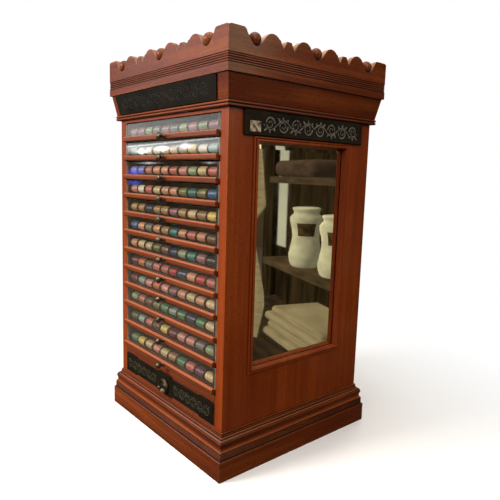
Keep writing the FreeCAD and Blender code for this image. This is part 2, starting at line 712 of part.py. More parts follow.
def deep_drawer():
    """Drawer that runs on the case's floor, behind a flat front."""
    foot = FLOOR_TOP + DEEP_SEAT_CLEARANCE
    front_top = DEEP_SLOT_TOP - DEEP_TOP_GAP
    wall_top = front_top - DEEP_WALL_DROP
    front = (FRONT_Y, FRONT_Y + DEEP_FRONT_THICKNESS)
    inside = (-DRAWER_INNER_X, DRAWER_INNER_X)
    back = (DRAWER_BACK_Y - BACK_WALL_THICKNESS, DRAWER_BACK_Y)
    tray = foot + DEEP_TRAY_LIFT
    parts = [box((-RAIL_HALF, RAIL_HALF), front, (foot, front_top))]
    parts += side_walls(front[1], foot, wall_top)
    parts.append(box(inside, back, (foot, wall_top)))
    parts.append(box(inside, (front[1], back[0]), (tray, tray + TRAY_THICKNESS)))
    return fused(parts)


def plaque():
    """Black shaped board on the deep drawer: tall ends, a narrow waist and a taller boss."""
    half = RAIL_HALF - PLAQUE_SIDE_MARGIN
    end = PLAQUE_END_HEIGHT / 2
    waist = PLAQUE_WAIST_HEIGHT / 2
    boss = PLAQUE_BOSS_HEIGHT / 2
    boss_half = PLAQUE_BOSS_WIDTH / 2
    end_inner = half - PLAQUE_END_WIDTH

    def hollow(start, finish):
        """Middle of a hollow step between two points of the edge."""
        pull = PLAQUE_STEP_HOLLOW * (1 if finish[0] > start[0] and finish[1] < start[1] else -1)
        middle_x = (start[0] + finish[0]) / 2
        middle_z = (start[1] + finish[1]) / 2
        return (middle_x - pull, middle_z - PLAQUE_STEP_HOLLOW)

    middle = (0, boss)
    boss_edge = (boss_half, boss)
    boss_foot = (boss_half + PLAQUE_STEP_RUN, waist)
    end_foot = (end_inner - PLAQUE_STEP_RUN, waist)
    end_edge = (end_inner, end)
    right = [boss_edge, (hollow(boss_edge, boss_foot), boss_foot), end_foot]
    right += [(hollow(end_foot, end_edge), end_edge), (half, end)]
    top = retraced(middle, right) + right
    moves = [(-half, end)] + top + [(half, -end)]
    moves += changed(top, lambda x, z: (-x, -z)) + [(-half, end)]
    board = outline(moves, lambda x, z: Vector(x, FRONT_Y, PLAQUE_MIDDLE + z))
    return board.extrude(Vector(0, -PLAQUE_THICKNESS, 0))


def pull():
    """Round dished pull with a raised rim and a post with a small head in its middle."""
    rim = PULL_RADIUS - PULL_RIM_WIDTH / 2
    dish = PULL_RADIUS - PULL_RIM_WIDTH
    points = [(0, 0), (PULL_RADIUS, 0), (PULL_RADIUS, PULL_EDGE_RISE), (rim, PULL_RIM_RISE)]
    points += [(dish, PULL_EDGE_RISE), (PULL_HEAD_RADIUS, PULL_DISH_RISE)]
    points += [(PULL_POST_RADIUS, PULL_EDGE_RISE), (PULL_POST_RADIUS, PULL_NECK_REACH)]
    points += [(PULL_HEAD_RADIUS, PULL_HEAD_REACH), (PULL_POST_RADIUS, PULL_LENGTH)]
    points += [(0, PULL_LENGTH)]
    seat = Vector(0, PLAQUE_FRONT_Y, PLAQUE_MIDDLE - PULL_DROP)
    return turned(points, TURNED_FLATS, seat)


def cabinet():
    """Every node's shape by its name."""
    nodes = {
        "plinth": plinth(),
        "base_moulding": base_moulding(),
        "bead_moulding": bead_moulding(),
        "frieze": frieze(),
        "crown_band": crown_band(),
        "crest_balls": crest_balls(),
        "side_right": side_right(),
        "side_left": side_left(),
        "back_panel": back_panel(),
        "floor_board": floor_board(),
        "header_rail": header_rail(),
        "top_board": top_board(),
        "runners_left": runners(-1),
        "runners_right": runners(1),
        "front_plate": front_plate(),
        "side_plate": side_plate(),
        "mirror_frame": mirror_frame(),
        "mirror": mirror(),
        "mirror_back": mirror_back(),
    }
    boards = [crest_board(*side) for side in four_sides()]
    nodes["cresting_front_back"] = Part.makeCompound(boards[0::2])
    nodes["cresting_sides"] = Part.makeCompound(boards[1::2])
    for number, (slot_foot, slot_height) in enumerate(slots(), start=1):
        nodes[f"drawer_{number:02d}"] = spool_drawer(slot_foot, slot_height)
        nodes[f"glass_{number:02d}"] = pane(slot_foot, slot_height)
        nodes[f"knob_{number:02d}"] = knob(slot_foot)
    nodes["drawer_13"] = deep_drawer()
    nodes["plaque"] = plaque()
    nodes["pull"] = pull()
    return nodes


os.makedirs("parts", exist_ok=True)
for name, shape in cabinet().items():
    shape.exportStep(f"parts/{name}.step")
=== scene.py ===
import math
import random

import bmesh
import bpy
from mathutils import Matrix, Vector


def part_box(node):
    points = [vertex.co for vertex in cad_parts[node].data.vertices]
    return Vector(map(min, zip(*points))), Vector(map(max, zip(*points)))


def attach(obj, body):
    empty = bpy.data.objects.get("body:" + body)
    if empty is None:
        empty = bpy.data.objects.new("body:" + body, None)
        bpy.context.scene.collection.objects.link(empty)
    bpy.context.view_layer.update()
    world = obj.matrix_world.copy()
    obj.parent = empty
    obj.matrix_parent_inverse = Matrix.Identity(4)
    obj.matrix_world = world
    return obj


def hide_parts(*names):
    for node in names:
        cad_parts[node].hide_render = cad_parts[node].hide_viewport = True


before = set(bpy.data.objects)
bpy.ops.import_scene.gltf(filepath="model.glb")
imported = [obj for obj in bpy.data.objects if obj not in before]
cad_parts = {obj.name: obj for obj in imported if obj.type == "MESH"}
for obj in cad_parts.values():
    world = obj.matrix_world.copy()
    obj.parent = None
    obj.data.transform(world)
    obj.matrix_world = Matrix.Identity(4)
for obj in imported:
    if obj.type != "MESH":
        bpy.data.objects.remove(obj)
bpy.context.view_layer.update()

# Plinth and base moulding.
# Stained cherry boards and a moulding above them, mitred at the corners, glued and bradded to
# the foot of the case, then varnished. The edges are worn. The quirks and grooves are painted
# darker, for shade and old dirt, and slopes are painted paler facing up and darker facing down.
MM = 0.001
CHERRY = ((0.125, 0.016, 0.0014), (0.215, 0.034, 0.003), (0.3, 0.06, 0.008))
DARK_CHERRY = ((0.045, 0.0055, 0.0008), (0.125, 0.019, 0.002), (0.265, 0.06, 0.009))
# Painted shade colours: under slopes that face down, in the quirks (with old dirt) and along the grooves
# (with old varnish).
PAINTED_UNDERSIDE_SHADE = (0.018, 0.0045, 0.0016)
QUIRK_SHADE_AND_DIRT = (0.01, 0.003, 0.0012)
GROOVE_SHADE_AND_DIRT = (0.012, 0.0035, 0.0014)
CASE_HALF_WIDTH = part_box("side_right")[1].x
CASE_HALF_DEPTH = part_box("side_right")[1].y


class Finish:
    """A material, or the world, whose node tree is put together one step at a time."""

    def __init__(self, name, kind=bpy.data.materials):
        self.material = kind.new(name)
        self.material.use_nodes = True
        self.tree = self.material.node_tree
        self.place = self.add("ShaderNodeTexCoord").outputs["Object"]

    def feed(self, socket, value):
        if isinstance(value, bpy.types.NodeSocket):
            self.tree.links.new(value, socket)
        else:
            socket.default_value = value

    def add(self, kind, values=(), **settings):
        made = self.tree.nodes.new(kind)
        for name, value in settings.items():
            setattr(made, name, value)
        for socket, value in dict(values).items():
            self.feed(made.inputs[socket], value)
        return made

    def dressed(self, **values):
        """The material, with these values on its surface."""
        surface = self.tree.nodes["Principled BSDF"]
        for name, value in values.items():
            self.feed(surface.inputs[name.replace("_", " ")], value)
        return self.material

    def covered(self, shader):
        """The material, with a shader in place of the usual surface."""
        self.feed(self.tree.get_output_node("ALL").inputs["Surface"], shader)
        return self.material

    def either(self, share, first, second):
        """Two shaders, mixed by a share from 0 to 1."""
        return self.add("ShaderNodeMixShader", {0: share, 1: first, 2: second}).outputs["Shader"]

    def number(self, operation, first, second=0.0, clamp=False):
        values = {0: first, 1: second}
        return self.add("ShaderNodeMath", values, operation=operation, use_clamp=clamp).outputs[0]

    def times(self, first, second):
        return self.number("MULTIPLY", first, second)

    def plus(self, first, second):
        return self.number("ADD", first, second)

    def less(self, first, second):
        return self.number("SUBTRACT", first, second)

    def gap(self, first, second):
        """How far apart two numbers are."""
        return self.number("ABSOLUTE", self.less(first, second))

    def vectors(self, operation, first, second=(0.0, 0.0, 0.0)):
        """A number worked out from two vectors."""
        made = self.add("ShaderNodeVectorMath", {0: first, 1: second}, operation=operation)
        return made.outputs["Value"]

    def axes(self, vector):
        """The x, y and z of a vector."""
        return self.add("ShaderNodeSeparateXYZ", {"Vector": vector}).outputs[:]

    def facing(self):
        return self.add("ShaderNodeNewGeometry").outputs["Normal"]

    def mixed(self, share, first, second, blend="MIX"):
        """Two colours, mixed by a share from 0 to 1."""
        first, second = (part + (1.0,) if isinstance(part, tuple) else part for part in (first, second))
        values = {"Factor": share, "A": first, "B": second}
        return self.add("ShaderNodeMix", values, data_type="RGBA", blend_type=blend).outputs["Result"]

    def chosen(self, share, first, second):
        """Two numbers, mixed by a share from 0 to 1."""
        values = {"Factor": share, "A": first, "B": second}
        return self.add("ShaderNodeMix", values, data_type="FLOAT").outputs["Result"]

    def mottle(self, vector, scale, detail, twist=0.0):
        """An uneven pattern of numbers around a half."""
        values = {"Vector": vector, "Scale": scale, "Detail": detail, "Distortion": twist}
        return self.add("ShaderNodeTexNoise", values).outputs["Fac"]

    def strands(self, vector, scale, detail, twist=0.0, shift=0.0):
        """An uneven pattern that is finer along some axes than along others."""
        values = {"Vector": vector, "Scale": scale, "Location": (shift,) * 3}
        return self.mottle(self.add("ShaderNodeMapping", values).outputs["Vector"], 1.0, detail, twist)

    def span(self, value, low, high, first=0.0, last=1.0):
        """A number that goes from first to last while the value goes from low to high."""
        values = {"Value": value, "From Min": low, "From Max": high, "To Min": first, "To Max": last}
        return self.add("ShaderNodeMapRange", values, clamp=True).outputs["Result"]

    def grey(self, value):
        """A grey as strong as a number."""
        return self.add("ShaderNodeCombineXYZ", dict.fromkeys("XYZ", value)).outputs["Vector"]

    def shades(self, value, *stops):
        """The colour of a value on a scale of coloured stops."""
        made = self.add("ShaderNodeValToRGB", {"Fac": value})
        ramp = made.color_ramp
        while len(ramp.elements) < len(stops):
            ramp.elements.new(0.5)
        for element, (where, colour) in zip(ramp.elements, stops):
            element.position = where
            element.color = colour + (1.0,)
        return made.outputs["Color"]

    def raised(self, height, depth, strength=1.0, **under):
        values = {"Height": height, "Distance": depth, "Strength": strength}
        return self.add("ShaderNodeBump", {**values, **under}).outputs["Normal"]

    def quirks(self, reach):
        """1 on open faces, falling to 0 deep in corners."""
        return self.add("ShaderNodeAmbientOcclusion", {"Distance": reach}, samples=6).outputs["AO"]

    def arrises(self, radius):
        """0 on flat faces, rising on sharp edges."""
        eased = self.add("ShaderNodeBevel", {"Radius": radius}, samples=6).outputs["Normal"]
        return self.span(self.vectors("DOT_PRODUCT", eased, self.facing()), 0.995, 0.86)


def varnished_wood(name, grain, tones=CHERRY, worn=0.5, coat=0.25, seed=0.0, grooves=(), painted_slope_light_and_floor_fade=0.0):
    """Varnished wood with its grain along x, y or z, or round the case in a mitred moulding.

    Each run of level grooves, given by its foot, pitch and count, gets a dark line painted in
    each groove, for shade and old varnish. Slopes that face up are painted paler and those that
    face down darker, as painted light and shade. Quirks and corners are painted darker by
    ambient occlusion, for shade and old dirt.
    """
    dark, middle, light = tones
    wood = Finish(name)
    x, y, z = wood.axes(wood.place)
    if grain == "round":
        past_side = wood.less(wood.number("ABSOLUTE", x), CASE_HALF_WIDTH)
        past_front = wood.less(wood.number("ABSOLUTE", y), CASE_HALF_DEPTH)
        on_side = wood.number("GREATER_THAN", past_side, past_front)
        turns = (wood.chosen(on_side, y, x), z, wood.chosen(on_side, x, y))
    else:
        turns = {"x": (y, z, x), "y": (x, z, y), "z": (x, y, z)}[grain]
    board = wood.add("ShaderNodeCombineXYZ", dict(zip("XYZ", turns))).outputs["Vector"]
    streak = wood.strands(board, (26, 26, 1.3), 4, 0.7, seed)
    figure = wood.strands(board, (110, 110, 4.0), 4, 0.5, seed + 3)
    fibre = wood.strands(board, (520, 520, 9), 3)
    pores = wood.strands(board, (1300, 1300, 46), 2)
    stain = wood.strands(board, (6, 6, 2.4), 3, 0.0, seed + 7)
    flecks = wood.strands(board, (240, 240, 90), 3, 0.0, seed)
    speckle = wood.strands(board, (620, 620, 240), 2, 0.0, seed)
    tone = wood.plus(wood.times(streak, 0.62), wood.times(figure, 0.38))
    colour = wood.shades(tone, (0.3, dark), (0.5, middle), (0.71, light))
    for pattern, low, high, first, last, tint in (
        (fibre, 0.35, 0.68, 0.3, 0.0, dark),
        (pores, 0.6, 0.7, 0.0, 0.55, dark),
        (stain, 0.45, 0.7, 0.0, 0.6, dark),
        (stain, 0.42, 0.25, 0.0, 0.16, light),
        (flecks, 0.58, 0.72, 0.0, 0.6, dark),
        (speckle, 0.5, 0.75, 0.0, 0.5, dark),
        (speckle, 0.45, 0.25, 0.0, 0.3, light),
    ):
        colour = wood.mixed(wood.span(pattern, low, high, first, last), colour, tint)
    # Painted light and shade: faces turned up are painted paler and faces turned down darker.
    if painted_slope_light_and_floor_fade:
        lean = wood.axes(wood.facing())[2]
        pale = tuple(1.7 * part + 0.012 for part in light)
        colour = wood.mixed(wood.span(lean, 0.1, 0.75, 0.0, painted_slope_light_and_floor_fade), colour, pale)
        shaded = wood.span(lean, -0.1, -0.65, 0.0, min(1.0, 1.3 * painted_slope_light_and_floor_fade))
        colour = wood.mixed(shaded, colour, PAINTED_UNDERSIDE_SHADE)
    open_face = wood.quirks(4.5 * MM)
    edges = wood.times(wood.arrises(1.1 * MM), open_face)
    rubbed = wood.span(wood.mottle(wood.place, 55, 4), 0.35, 0.62, 0.25, 1.0)
    edges = wood.times(wood.times(edges, rubbed), worn)
    colour = wood.mixed(edges, colour, tuple(min(1.0, 1.9 * part + 0.02) for part in light))
    # Painted shade and old dirt: ambient occlusion darkens the quirks and corners.
    quirk_shade_and_dirt = wood.span(open_face, 0.3, 0.88, 0.9, 0.0)
    colour = wood.mixed(quirk_shade_and_dirt, colour, QUIRK_SHADE_AND_DIRT)
    # Painted shade and old varnish: a dark line along each groove of a run.
    for foot, pitch, count in grooves:
        rise = wood.less(z, foot - pitch / 2)
        within = wood.gap(wood.number("MODULO", rise, pitch), pitch / 2)
        past_foot = wood.number("GREATER_THAN", rise, 0.0)
        under_head = wood.number("LESS_THAN", rise, pitch * (count + 1))
        run = wood.times(past_foot, under_head)
        groove_line_strength = wood.span(wood.strands(board, (60, 60, 16), 3), 0.3, 0.5, 0.7, 1.0)
        line = wood.times(wood.span(within, 0.5 * MM, 1.45 * MM, 1.0, 0.0), run)
        colour = wood.mixed(wood.times(line, groove_line_strength), colour, GROOVE_SHADE_AND_DIRT)
    sheen = wood.mottle(wood.place, 24, 4)
    relief = wood.less(wood.times(fibre, 0.6), pores)
    normal = wood.raised(relief, 0.25 * MM, 0.35)
    ripple = wood.strands(board, (14, 14, 5), 2)
    return wood.dressed(
        Base_Color=colour,
        Roughness=wood.span(sheen, 0.3, 0.75, 0.38, 0.56),
        Specular_IOR_Level=0.12,
        Coat_Weight=coat,
        Coat_Roughness=0.2,
        Normal=wood.raised(ripple, 0.8 * MM, 0.5, Normal=normal),
    )


def placed(name, data):
    """A thing in the scene, from its mesh, curve, lamp or camera."""
    thing = bpy.data.objects.new(name, data)
    bpy.context.scene.collection.objects.link(thing)
    return thing


def stands_for(piece, node, body, slot):
    """Mount a piece on its body in the place of a modelled node."""
    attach(piece, body)
    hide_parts(node)


SHARP_EDGE = math.radians(32)


def eased(node, material, width, slot="case_wood", body="cabinet"):
    """A copy of a modelled board that stands for it, with its edges rounded by millimetres."""
    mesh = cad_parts[node].data.copy()
    mesh.name = f"{node}_eased"
    work = bmesh.new()
    work.from_mesh(mesh)
    bmesh.ops.remove_doubles(work, verts=work.verts, dist=0.004 * MM)
    flat = math.radians(0.6)
    bmesh.ops.dissolve_limit(work, angle_limit=flat, verts=work.verts, edges=work.edges)
    for face in work.faces:
        face.smooth = True
    for edge in work.edges:
        edge.smooth = edge.calc_face_angle(0.0) < SHARP_EDGE
    work.to_mesh(mesh)
    work.free()
    if mesh.has_custom_normals:
        mesh.attributes.remove(mesh.attributes["custom_normal"])
    mesh.materials.clear()
    mesh.materials.append(material)
    piece = placed(f"{node}_wood", mesh)
    rounding = piece.modifiers.new("rounding", "BEVEL")
    rounding.width = width * MM
    rounding.segments = 2
    rounding.limit_method = "ANGLE"
    rounding.angle_limit = SHARP_EDGE
    rounding.harden_normals = True
    stands_for(piece, node, body, slot)
    return piece


# Level grooves of the mouldings, each painted with a dark line for shade and old varnish: the
# height of the lowest, the pitch and the count.
PLINTH_REEDS = (44.0 * MM, 3.25 * MM, 4)
BASE_LINES = (72.4 * MM, 3.87 * MM, 5)
FRIEZE_BEADS = (732.9 * MM, 6.0 * MM, 2)
CROWN_REEDS = (806.9 * MM, 4.25 * MM, 4)
GROOVES = (PLINTH_REEDS, BASE_LINES, FRIEZE_BEADS, CROWN_REEDS)
# The mouldings get painted light and shade: paler upward slopes, darker downward slopes, darker grooves and
# quirks.
moulded_cherry = varnished_wood("moulded_cherry", "round", DARK_CHERRY, grooves=GROOVES, painted_slope_light_and_floor_fade=0.38)
eased("plinth", moulded_cherry, 1.0)
eased("base_moulding", moulded_cherry, 0.35)

# Case boards.
# The two sides are wide upright cherry boards whose front edges frame the drawers. Between
# them are the header rail, the floor, the top and a back of plain pine boards.
upright_cherry = varnished_wood("upright_cherry", "z", seed=2.0)
level_cherry = varnished_wood("level_cherry", "x", seed=5.0)
PINE = ((0.085, 0.042, 0.018), (0.16, 0.085, 0.038), (0.25, 0.15, 0.075))
back_pine = varnished_wood("back_pine", "z", PINE, 0.3, 0.0, 9.0)
inner_pine = varnished_wood("inner_pine", "y", PINE, 0.3, 0.0, 12.0)
for node in ("side_right", "side_left"):
    eased(node, upright_cherry, 1.0)
eased("header_rail", level_cherry, 0.6)
eased("floor_board", level_cherry, 0.8, "inner_wood")
eased("top_board", inner_pine, 0.5, "inner_wood")
eased("back_panel", back_pine, 0.5, "back_wood")
for node in ("runners_left", "runners_right"):
    eased(node, inner_pine, 0.4, "inner_wood")

# Crown: beads, leaning frieze and reeded band.
# Cherry mouldings mitred round the head of the case. The reeds are painted with dark lines, for
# shade and for the dust and old varnish that lie in them.
eased("bead_moulding", moulded_cherry, 0.3)
eased("frieze", moulded_cherry, 0.5)
eased("crown_band", moulded_cherry, 0.35)

# Cresting and its balls.
# Boards cut out with a fret saw along the top edge, with turned balls glued into the round
# notches. The sawn edges took less stain than the faces, and the balls are a warmer red.
SAWN = ((0.16, 0.07, 0.034), (0.33, 0.175, 0.095), (0.5, 0.31, 0.185))
sawn_cherry = varnished_wood("sawn_cherry", "z", SAWN, 0.4, 0.2, 4.0)
for node in ("cresting_front_back", "cresting_sides"):
    cresting = eased(node, moulded_cherry, 0.7)
    cresting.data.materials.append(sawn_cherry)
    for face in cresting.data.polygons:
        sideways = max(abs(face.normal.x), abs(face.normal.y))
        along = 1 if node == "cresting_sides" else 0
        if abs(face.normal[along]) > 0.25 and face.normal.z > -0.5 and sideways < 0.9999:
            face.material_index = 1


def woven(work, rows, smooth=True, closed=False):
    """Faces between neighbouring rows of points, band by band, and the ends of closed rings."""
    rows = [[work.verts.new(point) for point in row] for row in rows]
    bands = []
    for first, second in zip(rows, rows[1:]):
        band = []
        for side in range(0 if closed else 1, len(first)):
            corners = (first[side - 1], first[side], second[side], second[side - 1])
            band.append(work.faces.new(corners))
            band[-1].smooth = smooth
        bands.append(band)
    ends = [work.faces.new(rows[0][::-1]), work.faces.new(rows[-1])] if closed else []
    return bands, ends


def lathe(work, profile, sides, place):
    """Turned rings about an axis along -Y, from a profile that gives reach, then radius."""
    rings = []
    for reach, radius in profile:
        ring = []
        for side in range(sides):
            angle = 2 * math.pi * side / sides
            ring.append(place @ Vector((radius * math.cos(angle), -reach, radius * math.sin(angle))))
        rings.append(ring)
    return woven(work, rings, closed=True)


def finished(work, name, *materials):
    """The object that a mesh in the making becomes."""
    bmesh.ops.recalc_face_normals(work, faces=work.faces)
    mesh = bpy.data.meshes.new(name)
    work.to_mesh(mesh)
    work.free()
    for material in materials:
        mesh.materials.append(material)
    return placed(name, mesh)


def turned(degrees, axis):
    return Matrix.Rotation(math.radians(degrees), 4, axis)


BALL_RED = ((0.06, 0.01, 0.003), (0.17, 0.04, 0.01), (0.42, 0.15, 0.048))
ball_cherry = varnished_wood("ball_cherry", "z", BALL_RED, 0.2, 0.12, 6.0)
BALL_RADIUS = 12.6 * MM
BALL_TO_CORNER = 66 * MM
BALL_TO_FACE = 7 * MM
BALL_END = math.radians(82)
BALL_RINGS = 16
BALL_SIDES = 32
ball_profile = []
for ring in range(BALL_RINGS + 1):
    latitude = BALL_END * (2 * ring / BALL_RINGS - 1)
    ball_profile.append((BALL_RADIUS * math.sin(latitude), BALL_RADIUS * math.cos(latitude)))
ball_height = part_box("crest_balls")[0].z + BALL_RADIUS
crest_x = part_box("cresting_front_back")[1].x
crest_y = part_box("cresting_sides")[1].y
work = bmesh.new()
for quarter in range(4):
    half_run, half_across = (crest_x, crest_y) if quarter % 2 == 0 else (crest_y, crest_x)
    around = turned(90 * quarter, "Z")
    for share in (-1, 0, 1):
        place = Vector((share * (half_run - BALL_TO_CORNER), BALL_TO_FACE - half_across, ball_height))
        lathe(work, ball_profile, BALL_SIDES, around @ Matrix.Translation(place))
stands_for(finished(work, "turned_balls", ball_cherry), "crest_balls", "cabinet", "turned_ball")

# Mirror in the right side.
# A moulding of two beads frames a bevelled looking glass; its silvering has gone a little
# dark and spotted along the edges. A board closes the opening behind it.
MIRROR_BEVEL = 17 * MM
MIRROR_BEVEL_DROP = 1.6 * MM
frame_cherry = varnished_wood("frame_cherry", "z", seed=8.0)
eased("mirror_frame", frame_cherry, 0.3)
eased("mirror_back", back_pine, 0.5, "inner_wood")


def silvered_glass():
    """Old silvering: clear in the middle, clouded with brown specks towards the edges."""
    low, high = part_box("mirror")
    silver = Finish("silvered_glass")
    _, across, up = silver.axes(silver.place)
    across = silver.number("DIVIDE", silver.gap(across, (low.y + high.y) / 2), (high.y - low.y) / 2)
    up = silver.number("DIVIDE", silver.gap(up, (low.z + high.z) / 2), (high.z - low.z) / 2)
    edge = silver.span(silver.number("MAXIMUM", across, up), 0.86, 1.0)
    specks = silver.span(silver.mottle(silver.place, 260, 4), 0.6, 0.72)
    cloud = silver.mottle(silver.place, 18, 4)
    lost = silver.number("MULTIPLY", specks, silver.plus(edge, 0.06), True)
    colour = silver.mixed(silver.span(cloud, 0.35, 0.7, 0.0, 0.25), (0.82, 0.8, 0.72), (0.64, 0.61, 0.5))
    return silver.dressed(
        Base_Color=silver.mixed(lost, colour, (0.1, 0.075, 0.045)),
        Metallic=1.0,
        Roughness=silver.span(cloud, 0.3, 0.8, 0.012, 0.05),
    )


def bevelled_plate(name, node, material):
    """A plate whose outer face slopes back in a flat band along its four edges."""
    low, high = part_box(node)
    work = bmesh.new()
    rings = []
    for depth, inset in ((low.x, 0.0), (high.x - MIRROR_BEVEL_DROP, 0.0), (high.x, MIRROR_BEVEL)):
        corners = [(low.y + inset, low.z + inset), (high.y - inset, low.z + inset)]
        corners += [(high.y - inset, high.z - inset), (low.y + inset, high.z - inset)]
        rings.append([(depth, y, z) for y, z in corners])
    woven(work, rings, smooth=False, closed=True)
    return finished(work, name, material)


looking_glass = bevelled_plate("looking_glass", "mirror", silvered_glass())
stands_for(looking_glass, "mirror", "cabinet", "looking_glass")

# Black name boards, without a name.
# Thin ebonised boards, one on the front of the frieze and one high on the right side. Each
# has a running scroll in old silver paint, and the side board has a corner of blank paper.


def ebonised(name, dust_share, rub=0.5):
    """Black stain over cherry, rubbed brown on the edges and dusty on the face."""
    black = Finish(name)
    grain = black.strands(black.place, (12, 60, 420), 4)
    dust = black.mottle(black.place, 30, 5)
    worn = tuple(dust_share * part for part in (0.017, 0.013, 0.0085))
    pores = tuple(dust_share * part for part in (0.028, 0.02, 0.013))
    colour = black.shades(dust, (0.3, tuple(0.35 * part for part in worn)), (0.75, worn))
    colour = black.mixed(black.span(grain, 0.5, 0.75, 0.0, 0.35), colour, pores)
    rubbed = black.span(black.mottle(black.place, 70, 4), 0.4, 0.62)
    edges = black.times(black.arrises(1.2 * MM), rubbed)
    return black.dressed(
        Base_Color=black.mixed(black.times(edges, rub), colour, (0.16, 0.075, 0.04)),
        Roughness=black.span(dust, 0.3, 0.7, 0.48, 0.66),
        Specular_IOR_Level=0.05,
        Normal=black.raised(grain, 0.2 * MM, 0.4),
    )


def old_paint(name, colour, loss):
    """Hand-laid metal paint that has dulled and flaked."""
    paint = Finish(name)
    flakes = paint.mottle(paint.place, 420, 4)
    worn = paint.span(flakes, loss, loss + 0.08, 0.0, 1.0)
    dull = tuple(0.35 * part for part in colour)
    tone = paint.mixed(paint.mottle(paint.place, 60, 3), dull, colour)
    return paint.dressed(
        Base_Color=paint.mixed(worn, tone, (0.01, 0.008, 0.006)),
        Roughness=0.52,
        Specular_IOR_Level=0.1,
        Normal=paint.raised(flakes, 0.1 * MM, 0.5),
    )


def stroke(curve, points, widths):
    """One tapering brush stroke of a scroll."""
    spline = curve.splines.new("POLY")
    spline.points.add(len(points) - 1)
    for point, (across, up), width in zip(spline.points, points, widths):
        point.co = (across, up, 0.0, 1.0)
        point.radius = width


STEPS_IN_BEND = 16
STEPS_IN_VOLUTE = 30
VOLUTE_TURN = 17.5
VOLUTE_SHRINKING = 0.026
VOLUTE_WIDTHS = [1.3 - 0.03 * step for step in range(28)] + [1.2, 1.5, 1.0]
LEAF_PLACES = (0.22, 0.5, 0.76)
LEAF_WIDTHS = (0.5, 1.2, 1.7, 1.8, 1.4, 0.9, 0.3)
PAINT_FLATNESS = 0.35


def running_scroll(name, size, repeats, centre, facing, body, paint):
    """A waved stem with a volute inside each bend and leaves outside it, mirrored about its middle.

    Its size is its length, its height and half a stroke's width, in millimetres. The stem has
    that many bends on each side of the middle.
    """
    length, height, weight = (measure * MM for measure in size)
    curve = bpy.data.curves.new(name, "CURVE")
    curve.dimensions = "3D"
    curve.bevel_depth = weight
    curve.bevel_resolution = 2
    pitch = length / 2 / repeats
    wave = 0.3 * height
    volute_reach = min(0.43 * pitch, 0.4 * height)
    for mirrored in (-1, 1):
        steps = repeats * STEPS_IN_BEND
        stem = []
        for step in range(steps + 1):
            share = step / steps
            stem.append((mirrored * share * length / 2, wave * math.sin(share * repeats * math.pi)))
        stroke(curve, stem, [1.1 - 0.5 * step / steps for step in range(steps + 1)])
        for bend in range(repeats):
            side = 1 if bend % 2 == 0 else -1
            volute = []
            for step in range(STEPS_IN_VOLUTE + 1):
                turn = math.radians(180 + side * VOLUTE_TURN * step)
                reach = volute_reach * (1 - VOLUTE_SHRINKING * step)
                across = (bend + 0.53) * pitch + reach * math.cos(turn)
                volute.append((mirrored * across, reach * math.sin(turn) - 0.05 * side * height))
            stroke(curve, volute, VOLUTE_WIDTHS)
            for leaf in LEAF_PLACES:
                root = (bend + leaf) * pitch
                foot = side * wave * math.sin(leaf * math.pi)
                blade = []
                for step in range(len(LEAF_WIDTHS)):
                    share = step / (len(LEAF_WIDTHS) - 1)
                    lean = pitch * (leaf - 0.35) * 0.5 * share
                    rise = side * 0.2 * height * math.sin(1.3 * share)
                    blade.append((mirrored * (root + lean), foot + rise))
                stroke(curve, blade, LEAF_WIDTHS)
    curve.materials.append(paint)
    piece = placed(name, curve)
    piece.matrix_world = Matrix.Translation(centre) @ facing
    piece.scale.z = PAINT_FLATNESS
    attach(piece, body)


side_black = ebonised("side_black", 1.2)
front_black = ebonised("front_black", 0.55)
silver_paint = old_paint("silver_paint", (0.27, 0.255, 0.22), 0.52)
dim_paint = old_paint("dim_paint", (0.013, 0.011, 0.009), 0.5)
eased("side_plate", side_black, 0.4, "black_paint")
eased("front_plate", front_black, 0.5, "black_paint")
plate_low, plate_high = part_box("side_plate")
side_centre = (plate_low + plate_high) / 2
side_centre.x = plate_high.x
SIDE_SCROLL_SHIFT = Vector((0, 14 * MM, -1 * MM))
scroll_centre = side_centre + SIDE_SCROLL_SHIFT
facing_right = turned(90, "Z") @ turned(90, "X")
running_scroll("side_scroll", (288, 33, 1.15), 4, scroll_centre, facing_right, "cabinet", silver_paint)
front_low, front_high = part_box("front_plate")
FRIEZE_LEAN = 10.95
front_centre = (front_low + front_high) / 2
front_centre.y = front_low.y + (front_high.z - front_low.z) / 2 * math.tan(math.radians(FRIEZE_LEAN))
facing_front = turned(90 + FRIEZE_LEAN, "X")
running_scroll("front_scroll", (350, 28, 1.0), 6, front_centre, facing_front, "cabinet", dim_paint)


def old_paper():
    """Paper gone brown, with dark foxed spots."""
    paper = Finish("old_paper")
    fox = paper.mottle(paper.place, 110, 6)
    tan, brown, spot = (0.46, 0.38, 0.28), (0.2, 0.14, 0.085), (0.05, 0.035, 0.022)
    return paper.dressed(
        Base_Color=paper.shades(fox, (0.4, tan), (0.54, brown), (0.62, spot)),
        Roughness=0.8,
        Normal=paper.raised(fox, 0.2 * MM, 0.6),
    )


LABEL_WIDTH = 27 * MM
LABEL_HEIGHT = 20 * MM
LABEL_PLACE = Vector((0, -150 * MM, -7 * MM))
LABEL_CELLS = 6
LABEL_THICKNESS = 0.15
LABEL_LIFT = 0.12
CURL_START = 1.55
CURL_STRENGTH = 1.2
work = bmesh.new()
rows = []
for row in range(LABEL_CELLS + 1):
    line = []
    for column in range(LABEL_CELLS + 1):
        across, up = column / LABEL_CELLS, row / LABEL_CELLS
        lift = LABEL_LIFT + CURL_STRENGTH * max(0.0, across + up - CURL_START) ** 2
        line.append((lift * MM, LABEL_WIDTH * (across - 0.5), LABEL_HEIGHT * (up - 0.5)))
    rows.append(line)
woven(work, rows, smooth=False)
label = finished(work, "blank_label", old_paper())
label.location = side_centre + LABEL_PLACE
thick = label.modifiers.new("thickness", "SOLIDIFY")
thick.thickness = LABEL_THICKNESS * MM
thick.offset = 1.0
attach(label, "cabinet")

